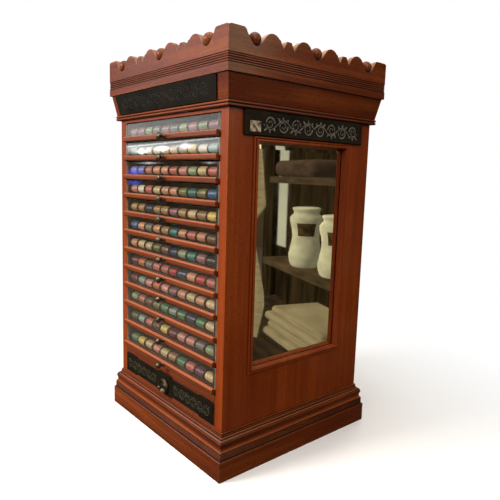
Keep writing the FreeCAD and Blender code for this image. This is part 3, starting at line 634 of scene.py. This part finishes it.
# Spool drawers.
# Each is a shallow pine tray glued behind a cherry rail with a rounded nose. The rail is
# varnished like the case, and its nose is painted paler where it faces up and darker where it
# faces down, as painted light and shade. The tray's pine has darker tones than the case's pine.
RAIL = ((0.065, 0.011, 0.0028), (0.15, 0.03, 0.007), (0.24, 0.06, 0.016))
# Painted light and shade on the rails: slopes facing up paler, slopes facing down darker.
rail_cherry = varnished_wood("rail_cherry", "x", RAIL, 0.8, 0.35, 3.0, painted_slope_light_and_floor_fade=0.7)
TRAY = ((0.035, 0.018, 0.009), (0.08, 0.045, 0.022), (0.14, 0.085, 0.045))
tray_pine = varnished_wood("tray_pine", "y", TRAY, 0.2, 0.0, 15.0)
SPOOL_DRAWERS = [(f"{number:02d}", f"spool_drawer_{number:02d}") for number in range(1, 13)]
RAIL_DEPTH = 16.2 * MM
RAIL_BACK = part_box("header_rail")[0].y + RAIL_DEPTH


def pine_behind(drawer, front_back):
    """Bare pine on what lies behind a drawer's varnished front."""
    drawer.data.materials.append(tray_pine)
    for face in drawer.data.polygons:
        if max(drawer.data.vertices[corner].co.y for corner in face.vertices) > front_back:
            face.material_index = 1


for number, body in SPOOL_DRAWERS:
    pine_behind(eased(f"drawer_{number}", rail_cherry, 0.5, "drawer_wood", body), RAIL_BACK)

# Glass fronts.
# Panes of old sheet glass, each standing in its rail's groove. The ground edges look pale.


def sheet_glass():
    """Clear glass with a faint film of dust, which lets the light of the room through."""
    glass = Finish("sheet_glass")
    film = glass.mottle(glass.place, 35, 5)
    clear = glass.add("ShaderNodeBsdfTransparent", {"Color": (0.965, 0.975, 0.968, 1.0)})
    shine = glass.add("ShaderNodeBsdfGlossy", {"Roughness": 0.02, "Color": (1.0, 1.0, 1.0, 1.0)})
    dust = glass.add("ShaderNodeBsdfDiffuse", {"Color": (0.3, 0.28, 0.24, 1.0)})
    behind = glass.add("ShaderNodeNewGeometry").outputs["Backfacing"]
    grazing = glass.add("ShaderNodeFresnel", {"IOR": glass.chosen(behind, 1.5, 1 / 1.5)}).outputs["Fac"]
    clean = glass.either(grazing, clear.outputs["BSDF"], shine.outputs["BSDF"])
    return glass.covered(glass.either(glass.span(film, 0.3, 0.75, 0.0, 0.022), clean, dust.outputs["BSDF"]))


def ground_edge():
    """The edge of a pane, ground pale and slightly rough."""
    edge = Finish("ground_edge")
    chips = edge.mottle(edge.place, 300, 4)
    return edge.dressed(
        Base_Color=edge.shades(chips, (0.3, (0.3, 0.33, 0.3)), (0.7, (0.6, 0.62, 0.56))),
        Roughness=0.3,
        Normal=edge.raised(chips, 0.15 * MM, 0.5),
    )


pane_glass = sheet_glass()
pane_edge = ground_edge()
for number, body in SPOOL_DRAWERS:
    pane = eased(f"glass_{number}", pane_glass, 0.25, "pane_glass", body)
    pane.name = f"pane_{number}"
    pane.data.materials.append(pane_edge)
    for face in pane.data.polygons:
        if abs(face.normal.y) < 0.5:
            face.material_index = 1

# Knobs of the spool drawers.
# Small turned brass knobs, gone nearly black, rubbed bright on the crown by fingers.


def tarnished_brass(name, rubbed):
    """Brass under a dark brown patina, bright where it is handled."""
    metal = Finish(name)
    patina = metal.mottle(metal.place, 300, 5, 0.4)
    fine = metal.mottle(metal.place, 1400, 3)
    bare = metal.times(metal.arrises(1.5 * MM), rubbed)
    black, brown, dull = (0.022, 0.016, 0.01), (0.075, 0.054, 0.034), (0.19, 0.145, 0.095)
    colour = metal.shades(patina, (0.3, black), (0.55, brown), (0.75, dull))
    return metal.dressed(
        Base_Color=metal.mixed(bare, colour, (0.5, 0.4, 0.26)),
        Metallic=0.85,
        Roughness=metal.span(patina, 0.3, 0.75, 0.28, 0.5),
        Normal=metal.raised(fine, 0.06 * MM, 0.5),
    )


knob_brass = tarnished_brass("knob_brass", 0.9)
KNOB_SIDES = 36
KNOB_PROFILE = (
    (0.0, 5.4), (0.9, 5.5), (1.4, 5.1), (1.6, 4.3), (2.4, 3.9), (5.2, 3.7), (6.4, 3.9), (7.6, 4.8),
    (9.0, 6.3), (10.2, 7.4), (11.4, 7.9), (12.6, 8.0), (13.8, 7.7), (14.7, 7.0), (15.1, 6.2),
    (15.3, 5.6), (16.2, 4.9), (17.2, 3.6), (17.8, 2.1), (18.0, 0.9),
)


def turned_metal(name, node, body, profile, sides, metal, slot):
    """A knob or pull turned to a profile in millimetres, seated on the front behind its node."""
    low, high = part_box(node)
    seat = (low + high) / 2
    seat.y = high.y
    work = bmesh.new()
    lathe(work, [(reach * MM, radius * MM) for reach, radius in profile], sides, Matrix.Translation(seat))
    stands_for(finished(work, name, metal), node, body, slot)


for number, body in SPOOL_DRAWERS:
    name, node = f"turned_knob_{number}", f"knob_{number}"
    turned_metal(name, node, body, KNOB_PROFILE, KNOB_SIDES, knob_brass, "knob_metal")

# Spools of sewing silk.
# Ten to a row behind each pane: short wooden spools with thin flanges, wound full with glossy
# silk. The shades are grouped by drawer as a haberdasher lays them out.
SHADES = {
    "rose": (0.46, 0.12, 0.1), "pink": (0.54, 0.21, 0.175), "peach": (0.56, 0.25, 0.15),
    "cream": (0.58, 0.42, 0.22), "white": (0.66, 0.6, 0.46), "yellow": (0.56, 0.4, 0.09),
    "gold": (0.38, 0.22, 0.08), "olive": (0.16, 0.16, 0.045), "sage": (0.24, 0.29, 0.16),
    "green": (0.05, 0.17, 0.075), "moss": (0.04, 0.085, 0.03), "teal": (0.03, 0.16, 0.14),
    "aqua": (0.23, 0.33, 0.27), "blue": (0.03, 0.095, 0.24), "violet": (0.2, 0.19, 0.62),
    "navy": (0.018, 0.03, 0.08), "plum": (0.11, 0.03, 0.07), "mauve": (0.3, 0.13, 0.15),
    "red": (0.4, 0.022, 0.026), "wine": (0.12, 0.014, 0.018),
    "orange": (0.52, 0.12, 0.035), "brown": (0.13, 0.055, 0.028), "tan": (0.33, 0.18, 0.08),
    "grey": (0.17, 0.15, 0.12), "black": (0.02, 0.018, 0.016),
}
ROWS = (
    # The top drawer's dyes are muted and darker, partly as painted shade under the header rail.
    "mauve mauve sage grey mauve grey sage mauve sage mauve",
    "aqua cream white white yellow cream gold yellow white aqua",
    "violet violet pink peach peach rose pink sage cream rose",
    "pink white rose cream peach peach olive teal olive blue",
    "gold gold navy gold gold mauve gold cream tan yellow",
    "blue peach grey peach gold teal peach rose peach brown",
    "peach cream cream olive brown navy sage teal mauve black",
    "wine orange grey rose rose red navy peach red rose",
    "wine aqua pink orange pink mauve peach cream peach cream",
    "sage rose brown olive green aqua green navy green cream",
    "moss aqua rose brown yellow wine pink pink grey sage",
    "green yellow cream pink cream tan green rose plum cream",
)
SPOOLS_PER_ROW = 10
SPOOL_ROW_HALF = 179 * MM
SPOOL_LENGTH = 34.8 * MM
SPOOL_RADIUS = 11.0 * MM
SPOOL_SIDES = 28
RAIL_HEIGHT = 12 * MM
SPOOL_LIFT = 0.1 * MM
SPOOL_AXIS_Y = (-197.6, -196.4)
SPOOL_PROFILE = (
    (0.0, 0.3), (0.0, 0.96), (0.012, 1.0), (0.032, 1.0), (0.044, 0.96), (0.058, 0.74),
    (0.1, 0.86), (0.18, 0.905), (0.5, 0.925), (0.82, 0.905), (0.9, 0.86), (0.942, 0.74),
    (0.956, 0.96), (0.968, 1.0), (0.988, 1.0), (1.0, 0.96), (1.0, 0.3), (0.94, 0.28),
)
SILK_BANDS = range(6, 11)
THREAD_PITCH = 0.42 * MM


def wound_silk():
    """Glossy thread in fine close turns, whose shade comes from each spool."""
    silk = Finish("wound_silk")
    shade = silk.add("ShaderNodeAttribute", attribute_name="shade").outputs["Color"]
    turn = silk.times(silk.axes(silk.place)[0], 2 * math.pi / THREAD_PITCH)
    ridge = silk.span(silk.number("SINE", turn), -1.0, 1.0)
    uneven = silk.strands(silk.place, (900, 60, 60), 4)
    dark = silk.mixed(1.0, shade, (0.45, 0.42, 0.4), "MULTIPLY")
    tone = silk.mixed(silk.span(uneven, 0.35, 0.65, 0.25, 1.0), dark, shade)
    # Painted shade: the troughs between the turns of thread are darker.
    tone = silk.mixed(silk.span(ridge, 0.0, 0.5, 0.35, 0.0), tone, dark)
    height = silk.plus(ridge, uneven)
    return silk.dressed(
        Base_Color=tone,
        Roughness=silk.span(uneven, 0.3, 0.7, 0.28, 0.42),
        Sheen_Weight=0.08,
        Sheen_Roughness=0.4,
        Coat_Weight=0.2,
        Coat_Roughness=0.22,
        Normal=silk.raised(height, 0.12 * MM, 0.6),
    )


silk = wound_silk()
BIRCH = ((0.045, 0.02, 0.009), (0.11, 0.055, 0.025), (0.22, 0.13, 0.065))
flange_birch = varnished_wood("flange_birch", "x", BIRCH, 0.3, 0.1, 20.0)
random.seed(18)
for (number, body), row in zip(SPOOL_DRAWERS, ROWS):
    tray_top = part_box(f"drawer_{number}")[0].z + RAIL_HEIGHT
    pitch = 2 * SPOOL_ROW_HALF / SPOOLS_PER_ROW
    work = bmesh.new()
    paint = work.loops.layers.float_color.new("shade")
    for place, shade_name in enumerate(row.split()):
        radius = SPOOL_RADIUS * random.uniform(0.95, 1.0)
        left = (place - SPOOLS_PER_ROW / 2) * pitch + (pitch - SPOOL_LENGTH) * random.random()
        depth = random.uniform(*SPOOL_AXIS_Y) * MM
        centre = Vector((left, depth, tray_top + radius + SPOOL_LIFT))
        tint = random.uniform(0.85, 1.12)
        shade = [min(1.0, part * tint) for part in SHADES[shade_name]] + [1.0]
        lying = Matrix.Translation(centre) @ turned(90, "Z")
        roll = Matrix.Rotation(random.random(), 4, "Y")
        profile = [(reach * SPOOL_LENGTH, share * radius) for reach, share in SPOOL_PROFILE]
        bands, ends = lathe(work, profile, SPOOL_SIDES, lying @ roll)
        for step, band in enumerate(bands):
            for face in band:
                face.material_index = 0 if step in SILK_BANDS else 1
                for loop in face.loops:
                    loop[paint] = shade
        for end in ends:
            end.material_index = 1
    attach(finished(work, f"silk_row_{number}", silk, flange_birch), body)

# Deep drawer with its black carved front.
# A cherry drawer for loose stock. On its front is a shaped ebonised board with an incised
# leaf scroll, and a round dished pull of tarnished brass is screwed to the middle.
DEEP_FRONT_DEPTH = 20.2 * MM
deep_front_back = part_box("drawer_13")[0].y + DEEP_FRONT_DEPTH
pine_behind(eased("drawer_13", rail_cherry, 0.8, "drawer_wood", "deep_drawer"), deep_front_back)
eased("plaque", front_black, 0.5, "black_paint", "deep_drawer")
plaque_low, plaque_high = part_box("plaque")
plaque_middle = Vector((0, plaque_low.y, (plaque_low.z + plaque_high.z) / 2))
moss_paint = old_paint("moss_paint", (0.075, 0.07, 0.04), 0.52)
PLAQUE_SCROLL_SHIFT = 107 * MM
for side, shift in (("left", -PLAQUE_SCROLL_SHIFT), ("right", PLAQUE_SCROLL_SHIFT)):
    name, centre = f"plaque_scroll_{side}", plaque_middle + Vector((shift, 0, 0))
    running_scroll(name, (140, 26, 0.9), 3, centre, turned(90, "X"), "deep_drawer", moss_paint)
PULL_SIDES = 56
PULL_PROFILE = [
    (0.0, 17.4), (0.6, 18.0), (3.4, 18.0), (4.2, 17.4), (4.6, 16.8), (6.4, 16.6), (7.2, 16.1),
    (7.5, 15.4), (7.2, 14.7), (6.2, 14.1), (4.4, 13.6), (2.8, 12.0), (2.0, 9.4), (1.9, 7.0),
    (2.4, 5.2), (3.4, 4.0), (6.0, 3.5), (10.6, 3.4), (11.6, 3.9), (13.0, 4.8), (14.4, 5.0),
    (16.0, 4.7), (17.2, 3.8), (17.8, 2.4), (18.0, 1.0),
]
pull_brass = tarnished_brass("pull_brass", 0.8)
turned_metal("turned_pull", "pull", "deep_drawer", PULL_PROFILE, PULL_SIDES, pull_brass, "pull_metal")

# Floor and room.
# A pale floor that fades to white. Cards out of sight stand for the dim room that the looking
# glass and the panes face, its shop window and a lamp far off.
SQUARE = ((-1, -1), (1, -1), (1, 1), (-1, 1))
FLOOR_HALF = 9.0
WHITE = (0.93, 0.93, 0.93)
ROOM_BROWN = (0.09, 0.062, 0.033)
floor_mesh = bpy.data.meshes.new("studio_floor")
floor_corners = [(x * FLOOR_HALF, y * FLOOR_HALF, 0) for x, y in SQUARE]
floor_mesh.from_pydata(floor_corners, [], [(0, 1, 2, 3)])
placed("studio_floor", floor_mesh)
pale = Finish("pale_floor")
far = pale.span(pale.vectors("LENGTH", pale.place), 0.35, 0.95)
rays = pale.add("ShaderNodeLightPath").outputs
seen = pale.number("MAXIMUM", rays["Is Camera Ray"], rays["Is Transmission Ray"])
tone = pale.mixed(seen, ROOM_BROWN, WHITE)
dull = pale.add("ShaderNodeBsdfPrincipled", {"Base Color": tone, "Roughness": 0.9})
white = pale.add("ShaderNodeEmission")
painted_slope_light_and_floor_fade = pale.either(pale.times(far, seen), dull.outputs["BSDF"], white.outputs["Emission"])
floor_mesh.materials.append(pale.covered(painted_slope_light_and_floor_fade))


def glow(name, colour_of, clear=False):
    """A material that only shines, with a colour worked out by its caller."""
    light = Finish(name)
    shine = light.add("ShaderNodeEmission", {"Color": colour_of(light)}).outputs["Emission"]
    if clear:
        through = light.add("ShaderNodeBsdfTransparent").outputs["BSDF"]
        shine = light.add("ShaderNodeAddShader", {0: shine, 1: through}).outputs["Shader"]
    return light.covered(shine)


def only_reflected(piece):
    """A part of the room, which reflections show and the camera doesn't."""
    piece.visible_camera = False
    piece.visible_diffuse = False
    piece.visible_transmission = False
    piece.visible_shadow = False


def room_side(name, corners, colour_of, clear=False):
    """Shining cards, one for every four corners."""
    mesh = bpy.data.meshes.new(name)
    mesh.from_pydata(corners, [], [tuple(range(first, first + 4)) for first in range(0, len(corners), 4)])
    mesh.materials.append(glow(name, colour_of, clear))
    only_reflected(placed(name, mesh))


PLASTER = ((0.13, 0.085, 0.035), (0.13, 0.09, 0.04), (0.045, 0.028, 0.016))
POST_BROWN = (0.03, 0.018, 0.011)


def dim_wall(light):
    """Brown plaster and timber shining with painted light, darker towards the top, with upright posts."""
    rise = light.span(light.axes(light.place)[2], 0.0, 2.2)
    soft = light.mottle(light.place, 1.3, 3)
    post = light.span(light.strands(light.place, (2.2, 2.2, 0.1), 2), 0.5, 0.56)
    colour = light.shades(rise, *zip((0.0, 0.45, 1.0), PLASTER))
    colour = light.mixed(light.span(soft, 0.35, 0.7, 0.0, 0.6), colour, PLASTER[-1])
    return light.mixed(light.times(post, 0.65), colour, POST_BROWN)


ROOM_RADIUS = 3.4
ROOM_HEIGHT = 2.6
ROOM_SIDES = 48
room_corners = []
for side in range(ROOM_SIDES):
    for step, height in ((0, -0.2), (1, -0.2), (1, ROOM_HEIGHT), (0, ROOM_HEIGHT)):
        angle = 2 * math.pi * (side + step) / ROOM_SIDES
        room_corners.append((ROOM_RADIUS * math.cos(angle), ROOM_RADIUS * math.sin(angle), height))
room_side("room_wall", room_corners, dim_wall)


# The glints of the shop's lamps: their place along, height, half size each way and strength.
# The two blue ones shine with the sign's own strength.
LAMP_GLINTS = (
    (-2.66, 0.772, 0.17, 0.036, 16.0), (-2.35, 0.788, 0.17, 0.036, 18.0),
    (-2.04, 0.8, 0.17, 0.034, 14.0), (-2.55, 0.683, 0.3, 0.016, 5.0),
    (-1.75, 0.683, 0.14, 0.016, 4.0),
)
BLUE_GLINTS = ((-2.79, 0.605, 0.15, 0.045), (-2.79, 0.525, 0.15, 0.026))
SIGN_BLUE = (0.12, 0.3, 1.9)
SHELF_GLARE_HEIGHT = 0.8
SHELF_GLARE_REACH = 0.052
COLD_WHITE = (0.96, 0.98, 1.0)


def shop_front(light):
    """A hazy shop window with a row of lamps below it, and a blue sign lower down."""

    def off_centre(where, height, half_run, half_rise):
        """How far along and up from a glint's middle, as shares of half its size."""
        run = light.times(light.less(across, where), 1 / half_run)
        lift = light.times(light.less(rise, height), 1 / half_rise)
        return run, lift

    across, _, rise = light.axes(light.place)
    cloud = light.span(light.mottle(light.place, 3.0, 3), 0.3, 0.7, 0.75, 1.1)
    haze = light.times(light.span(rise, 0.862, 0.885, 0.0, 1.15), cloud)
    sky = light.span(rise, 1.0, 1.45, 0.0, 1.6)
    below = light.span(rise, 0.856, 0.87, 1.0, 0.0)
    level = light.times(light.gap(rise, SHELF_GLARE_HEIGHT), 1 / SHELF_GLARE_REACH)
    glare = light.times(light.span(level, 0.0, 1.0, 3.0, 0.0), below)
    strip = light.gap(rise, light.span(across, -2.9, -1.65, 0.815, 0.84))
    glare = light.plus(glare, light.span(strip, 0.0, 0.009, 4.0, 0.0))
    total = light.plus(light.plus(haze, sky), glare)
    for *place, bright in LAMP_GLINTS:
        run, lift = off_centre(*place)
        reach = light.plus(light.number("ABSOLUTE", run), light.number("ABSOLUTE", lift))
        glint = light.number("POWER", light.span(reach, 0.0, 1.0, 1.0, 0.0), 2.0)
        total = light.plus(total, light.times(glint, bright))
    colour = light.mixed(1.0, COLD_WHITE, light.grey(total), "MULTIPLY")
    for place in BLUE_GLINTS:
        run, lift = (light.number("POWER", part, 2.0) for part in off_centre(*place))
        reach = light.number("SQRT", light.plus(run, lift))
        colour = light.mixed(light.span(reach, 0.3, 1.0, 1.0, 0.0), colour, SIGN_BLUE)
    return colour


SHOP_MIDDLE = Vector((-2.275, -1.6, 1.2))
SHOP_HALF = (0.725, 0.8)
shop_corners = [SHOP_MIDDLE + Vector((x * SHOP_HALF[0], 0, z * SHOP_HALF[1])) for x, z in SQUARE]
room_side("shop_front", shop_corners, shop_front, True)


LAMP_MIDDLE = Vector((2.1, 1.25, 1.45))
LAMP_HALF = 0.6
LAMP_GLOW = (7.0, 6.3, 4.2)


def far_lamp(light):
    """A round soft light high beside the case, which shows in the varnish of the right side."""
    away = light.vectors("DISTANCE", light.place, LAMP_MIDDLE)
    return light.mixed(light.span(away, 0.1, 0.6, 1.0, 0.0), (0.0, 0.0, 0.0), LAMP_GLOW)


lamp_corners = [LAMP_MIDDLE + Vector((0, y * LAMP_HALF, z * LAMP_HALF)) for y, z in SQUARE]
room_side("far_lamp", lamp_corners, far_lamp, True)

# Shelves that the looking glass shows.
# Beside the case stand boarded shelves with two cream jars, a box and folded cloths, and a
# cloth hangs in front. They only show in reflections, so they shine by themselves.
SHELF_TURN = -161.064
SHELF_PLACE = Matrix.Translation((0.786, 0.432, 0.0)) @ turned(SHELF_TURN, "Z")
SHELF_PLACE = SHELF_PLACE @ Matrix.Scale(-1, 4, (0, 1, 0))
DAYLIGHT = Vector((0.7, -0.5, 0.5)).normalized()


def daylit(name, tone, mottle_size, contrast, gleam=0.0):
    """A prop's finish: light and shade from its slopes, with a soft unevenness and a gleam."""

    def colour_of(light):
        lit = light.vectors("DOT_PRODUCT", light.facing(), DAYLIGHT)
        shade = light.span(lit, -0.5, 1.0, 0.22, 1.0)
        uneven = light.strands(light.place, mottle_size, 4)
        uneven = light.span(uneven, 0.3, 0.7, 1 - contrast, 1 + 0.3 * contrast)
        shade = light.times(shade, uneven)
        shade = light.plus(shade, light.span(lit, 0.9, 1.0, 0.0, gleam))
        return light.mixed(1.0, tone, light.grey(shade), "MULTIPLY")

    return glow(name, colour_of)


old_board = daylit("old_board", (0.125, 0.082, 0.038), (9, 9, 40), 0.6)
back_board = daylit("back_board", (0.044, 0.028, 0.011), (26, 26, 3), 0.85)
floor_board = daylit("floor_board", (0.06, 0.04, 0.02), (9, 40, 9), 0.6)
white_door = daylit("white_door", (0.68, 0.66, 0.47), (3, 3, 3), 0.15)
jar_glaze = daylit("jar_glaze", (0.9, 0.83, 0.5), (28, 28, 40), 0.25, 0.45)
jar_label = daylit("jar_label", (0.16, 0.09, 0.035), (60, 60, 60), 0.7)
brown_box = daylit("brown_box", (0.135, 0.085, 0.048), (12, 12, 30), 0.5)
linen = daylit("linen", (0.44, 0.345, 0.175), (8, 8, 110), 0.3)


def prop(work, name, *materials):
    """A thing by the shelves, from its mesh in the making."""
    piece = finished(work, name, *materials)
    piece.matrix_world = SHELF_PLACE
    only_reflected(piece)


def slab(name, run, depth, rise, material, rounding=0.0):
    """A board, box or folded cloth between two values along, into and up the shelves."""
    work = bmesh.new()
    size = [high - low for low, high in (run, depth, rise)]
    middle = [(low + high) / 2 for low, high in (run, depth, rise)]
    bmesh.ops.create_cube(work, matrix=Matrix.Translation(middle) @ Matrix.Diagonal(size + [1]))
    if rounding:
        bmesh.ops.bevel(work, geom=work.edges[:], offset=rounding, segments=5, affect="EDGES", profile=0.5)
        for face in work.faces:
            face.smooth = True
    prop(work, name, material)


slab("shelf_back", (-0.45, 0.4), (0.3, 0.32), (0.0, 1.3), back_board)
slab("door_strip", (-0.61, -0.466), (0.33, 0.34), (0.27, 1.3), white_door)
slab("door_foot", (-0.61, -0.466), (0.33, 0.34), (0.0, 0.27), back_board)
slab("door_post", (-0.72, -0.61), (0.3, 0.34), (0.0, 1.3), back_board)
slab("shelf_low", (-0.7, 0.45), (-0.25, 0.34), (0.002, 0.014), floor_board)
slab("shelf_middle", (-0.02, 0.52), (0.0, 0.28), (0.293, 0.315), old_board)
slab("shelf_high", (0.02, 0.52), (0.0, 0.28), (0.586, 0.608), old_board)
slab("shelf_box", (-0.02, 0.27), (0.03, 0.15), (0.608, 0.664), brown_box, 0.024)
slab("shelf_box_end", (0.4, 0.5), (0.03, 0.15), (0.608, 0.664), brown_box, 0.024)
SHELF_LOW_TOP = 0.014
CLOTH_PITCH = 0.03
CLOTH_THICKNESS = 0.029
CLOTH_DEPTH = 0.2
CLOTH_ROUNDING = 0.0135
# Each folded cloth's left and right end and its front, from the lowest up.
CLOTHS = ((-0.05, 0.4, 0.02), (-0.03, 0.39, 0.03), (-0.05, 0.385, 0.025), (-0.01, 0.37, 0.035))
for number, (left, right, front) in enumerate(CLOTHS, start=1):
    foot = SHELF_LOW_TOP + CLOTH_PITCH * (number - 1)
    depth, rise = (front, front + CLOTH_DEPTH), (foot, foot + CLOTH_THICKNESS)
    slab(f"folded_cloth_{number}", (left, right), depth, rise, linen, CLOTH_ROUNDING)
JAR_RINGS = (
    (0.0, 0.042), (0.006, 0.048), (0.02, 0.053), (0.04, 0.055), (0.065, 0.05), (0.09, 0.045),
    (0.104, 0.0445), (0.125, 0.047), (0.146, 0.053), (0.16, 0.054), (0.169, 0.048), (0.174, 0.042),
    (0.182, 0.042), (0.188, 0.046), (0.193, 0.046), (0.195, 0.04),
)
JAR_SIDES = 40
# Each jar's place along and into the shelves, and its share of the full size.
JARS = ((0.192, 0.06, 1.0), (0.374, 0.064, 0.94))
SHELF_TOP = 0.315
JAR_LABEL_BANDS = (6, 7)
JAR_LABEL_SIDES = range(-6, 2)
for number, (along, into, share) in enumerate(JARS, start=1):
    work = bmesh.new()
    upright = Matrix.Translation((along, into, SHELF_TOP)) @ turned(-90, "X")
    bands, ends = lathe(work, JAR_RINGS, JAR_SIDES, upright @ Matrix.Scale(share, 4))
    for band in JAR_LABEL_BANDS:
        for side in JAR_LABEL_SIDES:
            bands[band][side].material_index = 1
    prop(work, f"cream_jar_{number}", jar_glaze, jar_label)
# The edge and the height of the hanging cloth's rows, from the top down.
HUNG = (
    (0.02, 1.0), (0.03, 0.715), (0.046, 0.62), (0.06, 0.506), (0.02, 0.48), (-0.05, 0.44),
    (-0.05, 0.37), (0.0, 0.28), (0.045, 0.2), (0.058, 0.15), (0.03, 0.07), (0.01, 0.004),
)
FOLDS = 14
HUNG_WIDTH = 0.22
work = bmesh.new()
rows = []
for edge, height in HUNG:
    line = []
    for fold in range(FOLDS + 1):
        along = edge - HUNG_WIDTH * fold / FOLDS
        into = -0.03 + 0.01 * math.sin(1.9 * fold + 6 * height)
        line.append((along, into, height))
    rows.append(line)
woven(work, rows)
prop(work, "hanging_cloth", linen)

# World, lamps and camera.
# A white world that the camera and reflections see, with a weak warm light for the rest, four
# soft square lamps, and a camera a little above the middle of the case, rolled slightly.
sky = Finish("studio", bpy.data.worlds)
bpy.context.scene.world = sky.material
rays = sky.add("ShaderNodeLightPath").outputs
shown = sky.number("MAXIMUM", rays["Is Camera Ray"], rays["Is Glossy Ray"])
shown = sky.number("MAXIMUM", shown, rays["Is Transmission Ray"])
warm = sky.add("ShaderNodeBackground", {"Color": (1.0, 0.94, 0.86, 1.0), "Strength": 0.22})
white = sky.add("ShaderNodeBackground", {"Color": (1.0, 1.0, 1.0, 1.0)})
sky.covered(sky.either(shown, warm.outputs["Background"], white.outputs["Background"]))


def lamp(name, power, size, place, aim, colour):
    """A soft square lamp that faces a point."""
    light = bpy.data.lights.new(name, "AREA")
    light.energy = power
    light.size = size
    light.color = colour
    holder = placed(name, light)
    facing = (Vector(aim) - Vector(place)).to_track_quat("-Z", "Y")
    holder.matrix_world = Matrix.LocRotScale(Vector(place), facing, None)


lamp("key_lamp", 134, 1.2, (-0.9, -2.6, 1.55), (0, -0.1, 0.45), (1.0, 0.95, 0.88))
lamp("side_lamp", 42, 1.2, (2.0, -1.2, 2.0), (0, 0, 0.6), (1.0, 0.93, 0.84))
lamp("back_lamp", 30, 1.4, (-1.0, 2.6, 1.7), (0, 0.2, 0.45), (1.0, 0.95, 0.88))
lamp("top_lamp", 24, 1.2, (0.2, -0.3, 2.5), (0, 0, 0.6), (1.0, 0.97, 0.94))

CAMERA_AZIMUTH = 50.3994
CAMERA_ELEVATION = 8.2964
CAMERA_ROLL = 1.5168
CASE_WIDTH = 0.43
CAMERA_DISTANCE = 2.9435 * CASE_WIDTH
CAMERA_TARGET = Vector((0.0, 0.0, 0.991 * CASE_WIDTH))
FOCAL_PIXELS = 505.92
CENTRE_PIXELS = (239.22, 248.89)
PICTURE_PIXELS = 500
lens = bpy.data.cameras.new("camera")
lens.sensor_width = 36.0
lens.lens = FOCAL_PIXELS / PICTURE_PIXELS * lens.sensor_width
lens.shift_x = (PICTURE_PIXELS / 2 - CENTRE_PIXELS[0]) / PICTURE_PIXELS
lens.shift_y = (CENTRE_PIXELS[1] - PICTURE_PIXELS / 2) / PICTURE_PIXELS
camera = placed("camera", lens)
aim = turned(CAMERA_AZIMUTH, "Z") @ turned(90 - CAMERA_ELEVATION, "X") @ turned(CAMERA_ROLL, "Z")
away = Matrix.Translation((0.0, 0.0, CAMERA_DISTANCE))
camera.matrix_world = Matrix.Translation(CAMERA_TARGET) @ aim @ away
bpy.context.scene.camera = camera
bpy.context.scene.view_settings.view_transform = "Standard"
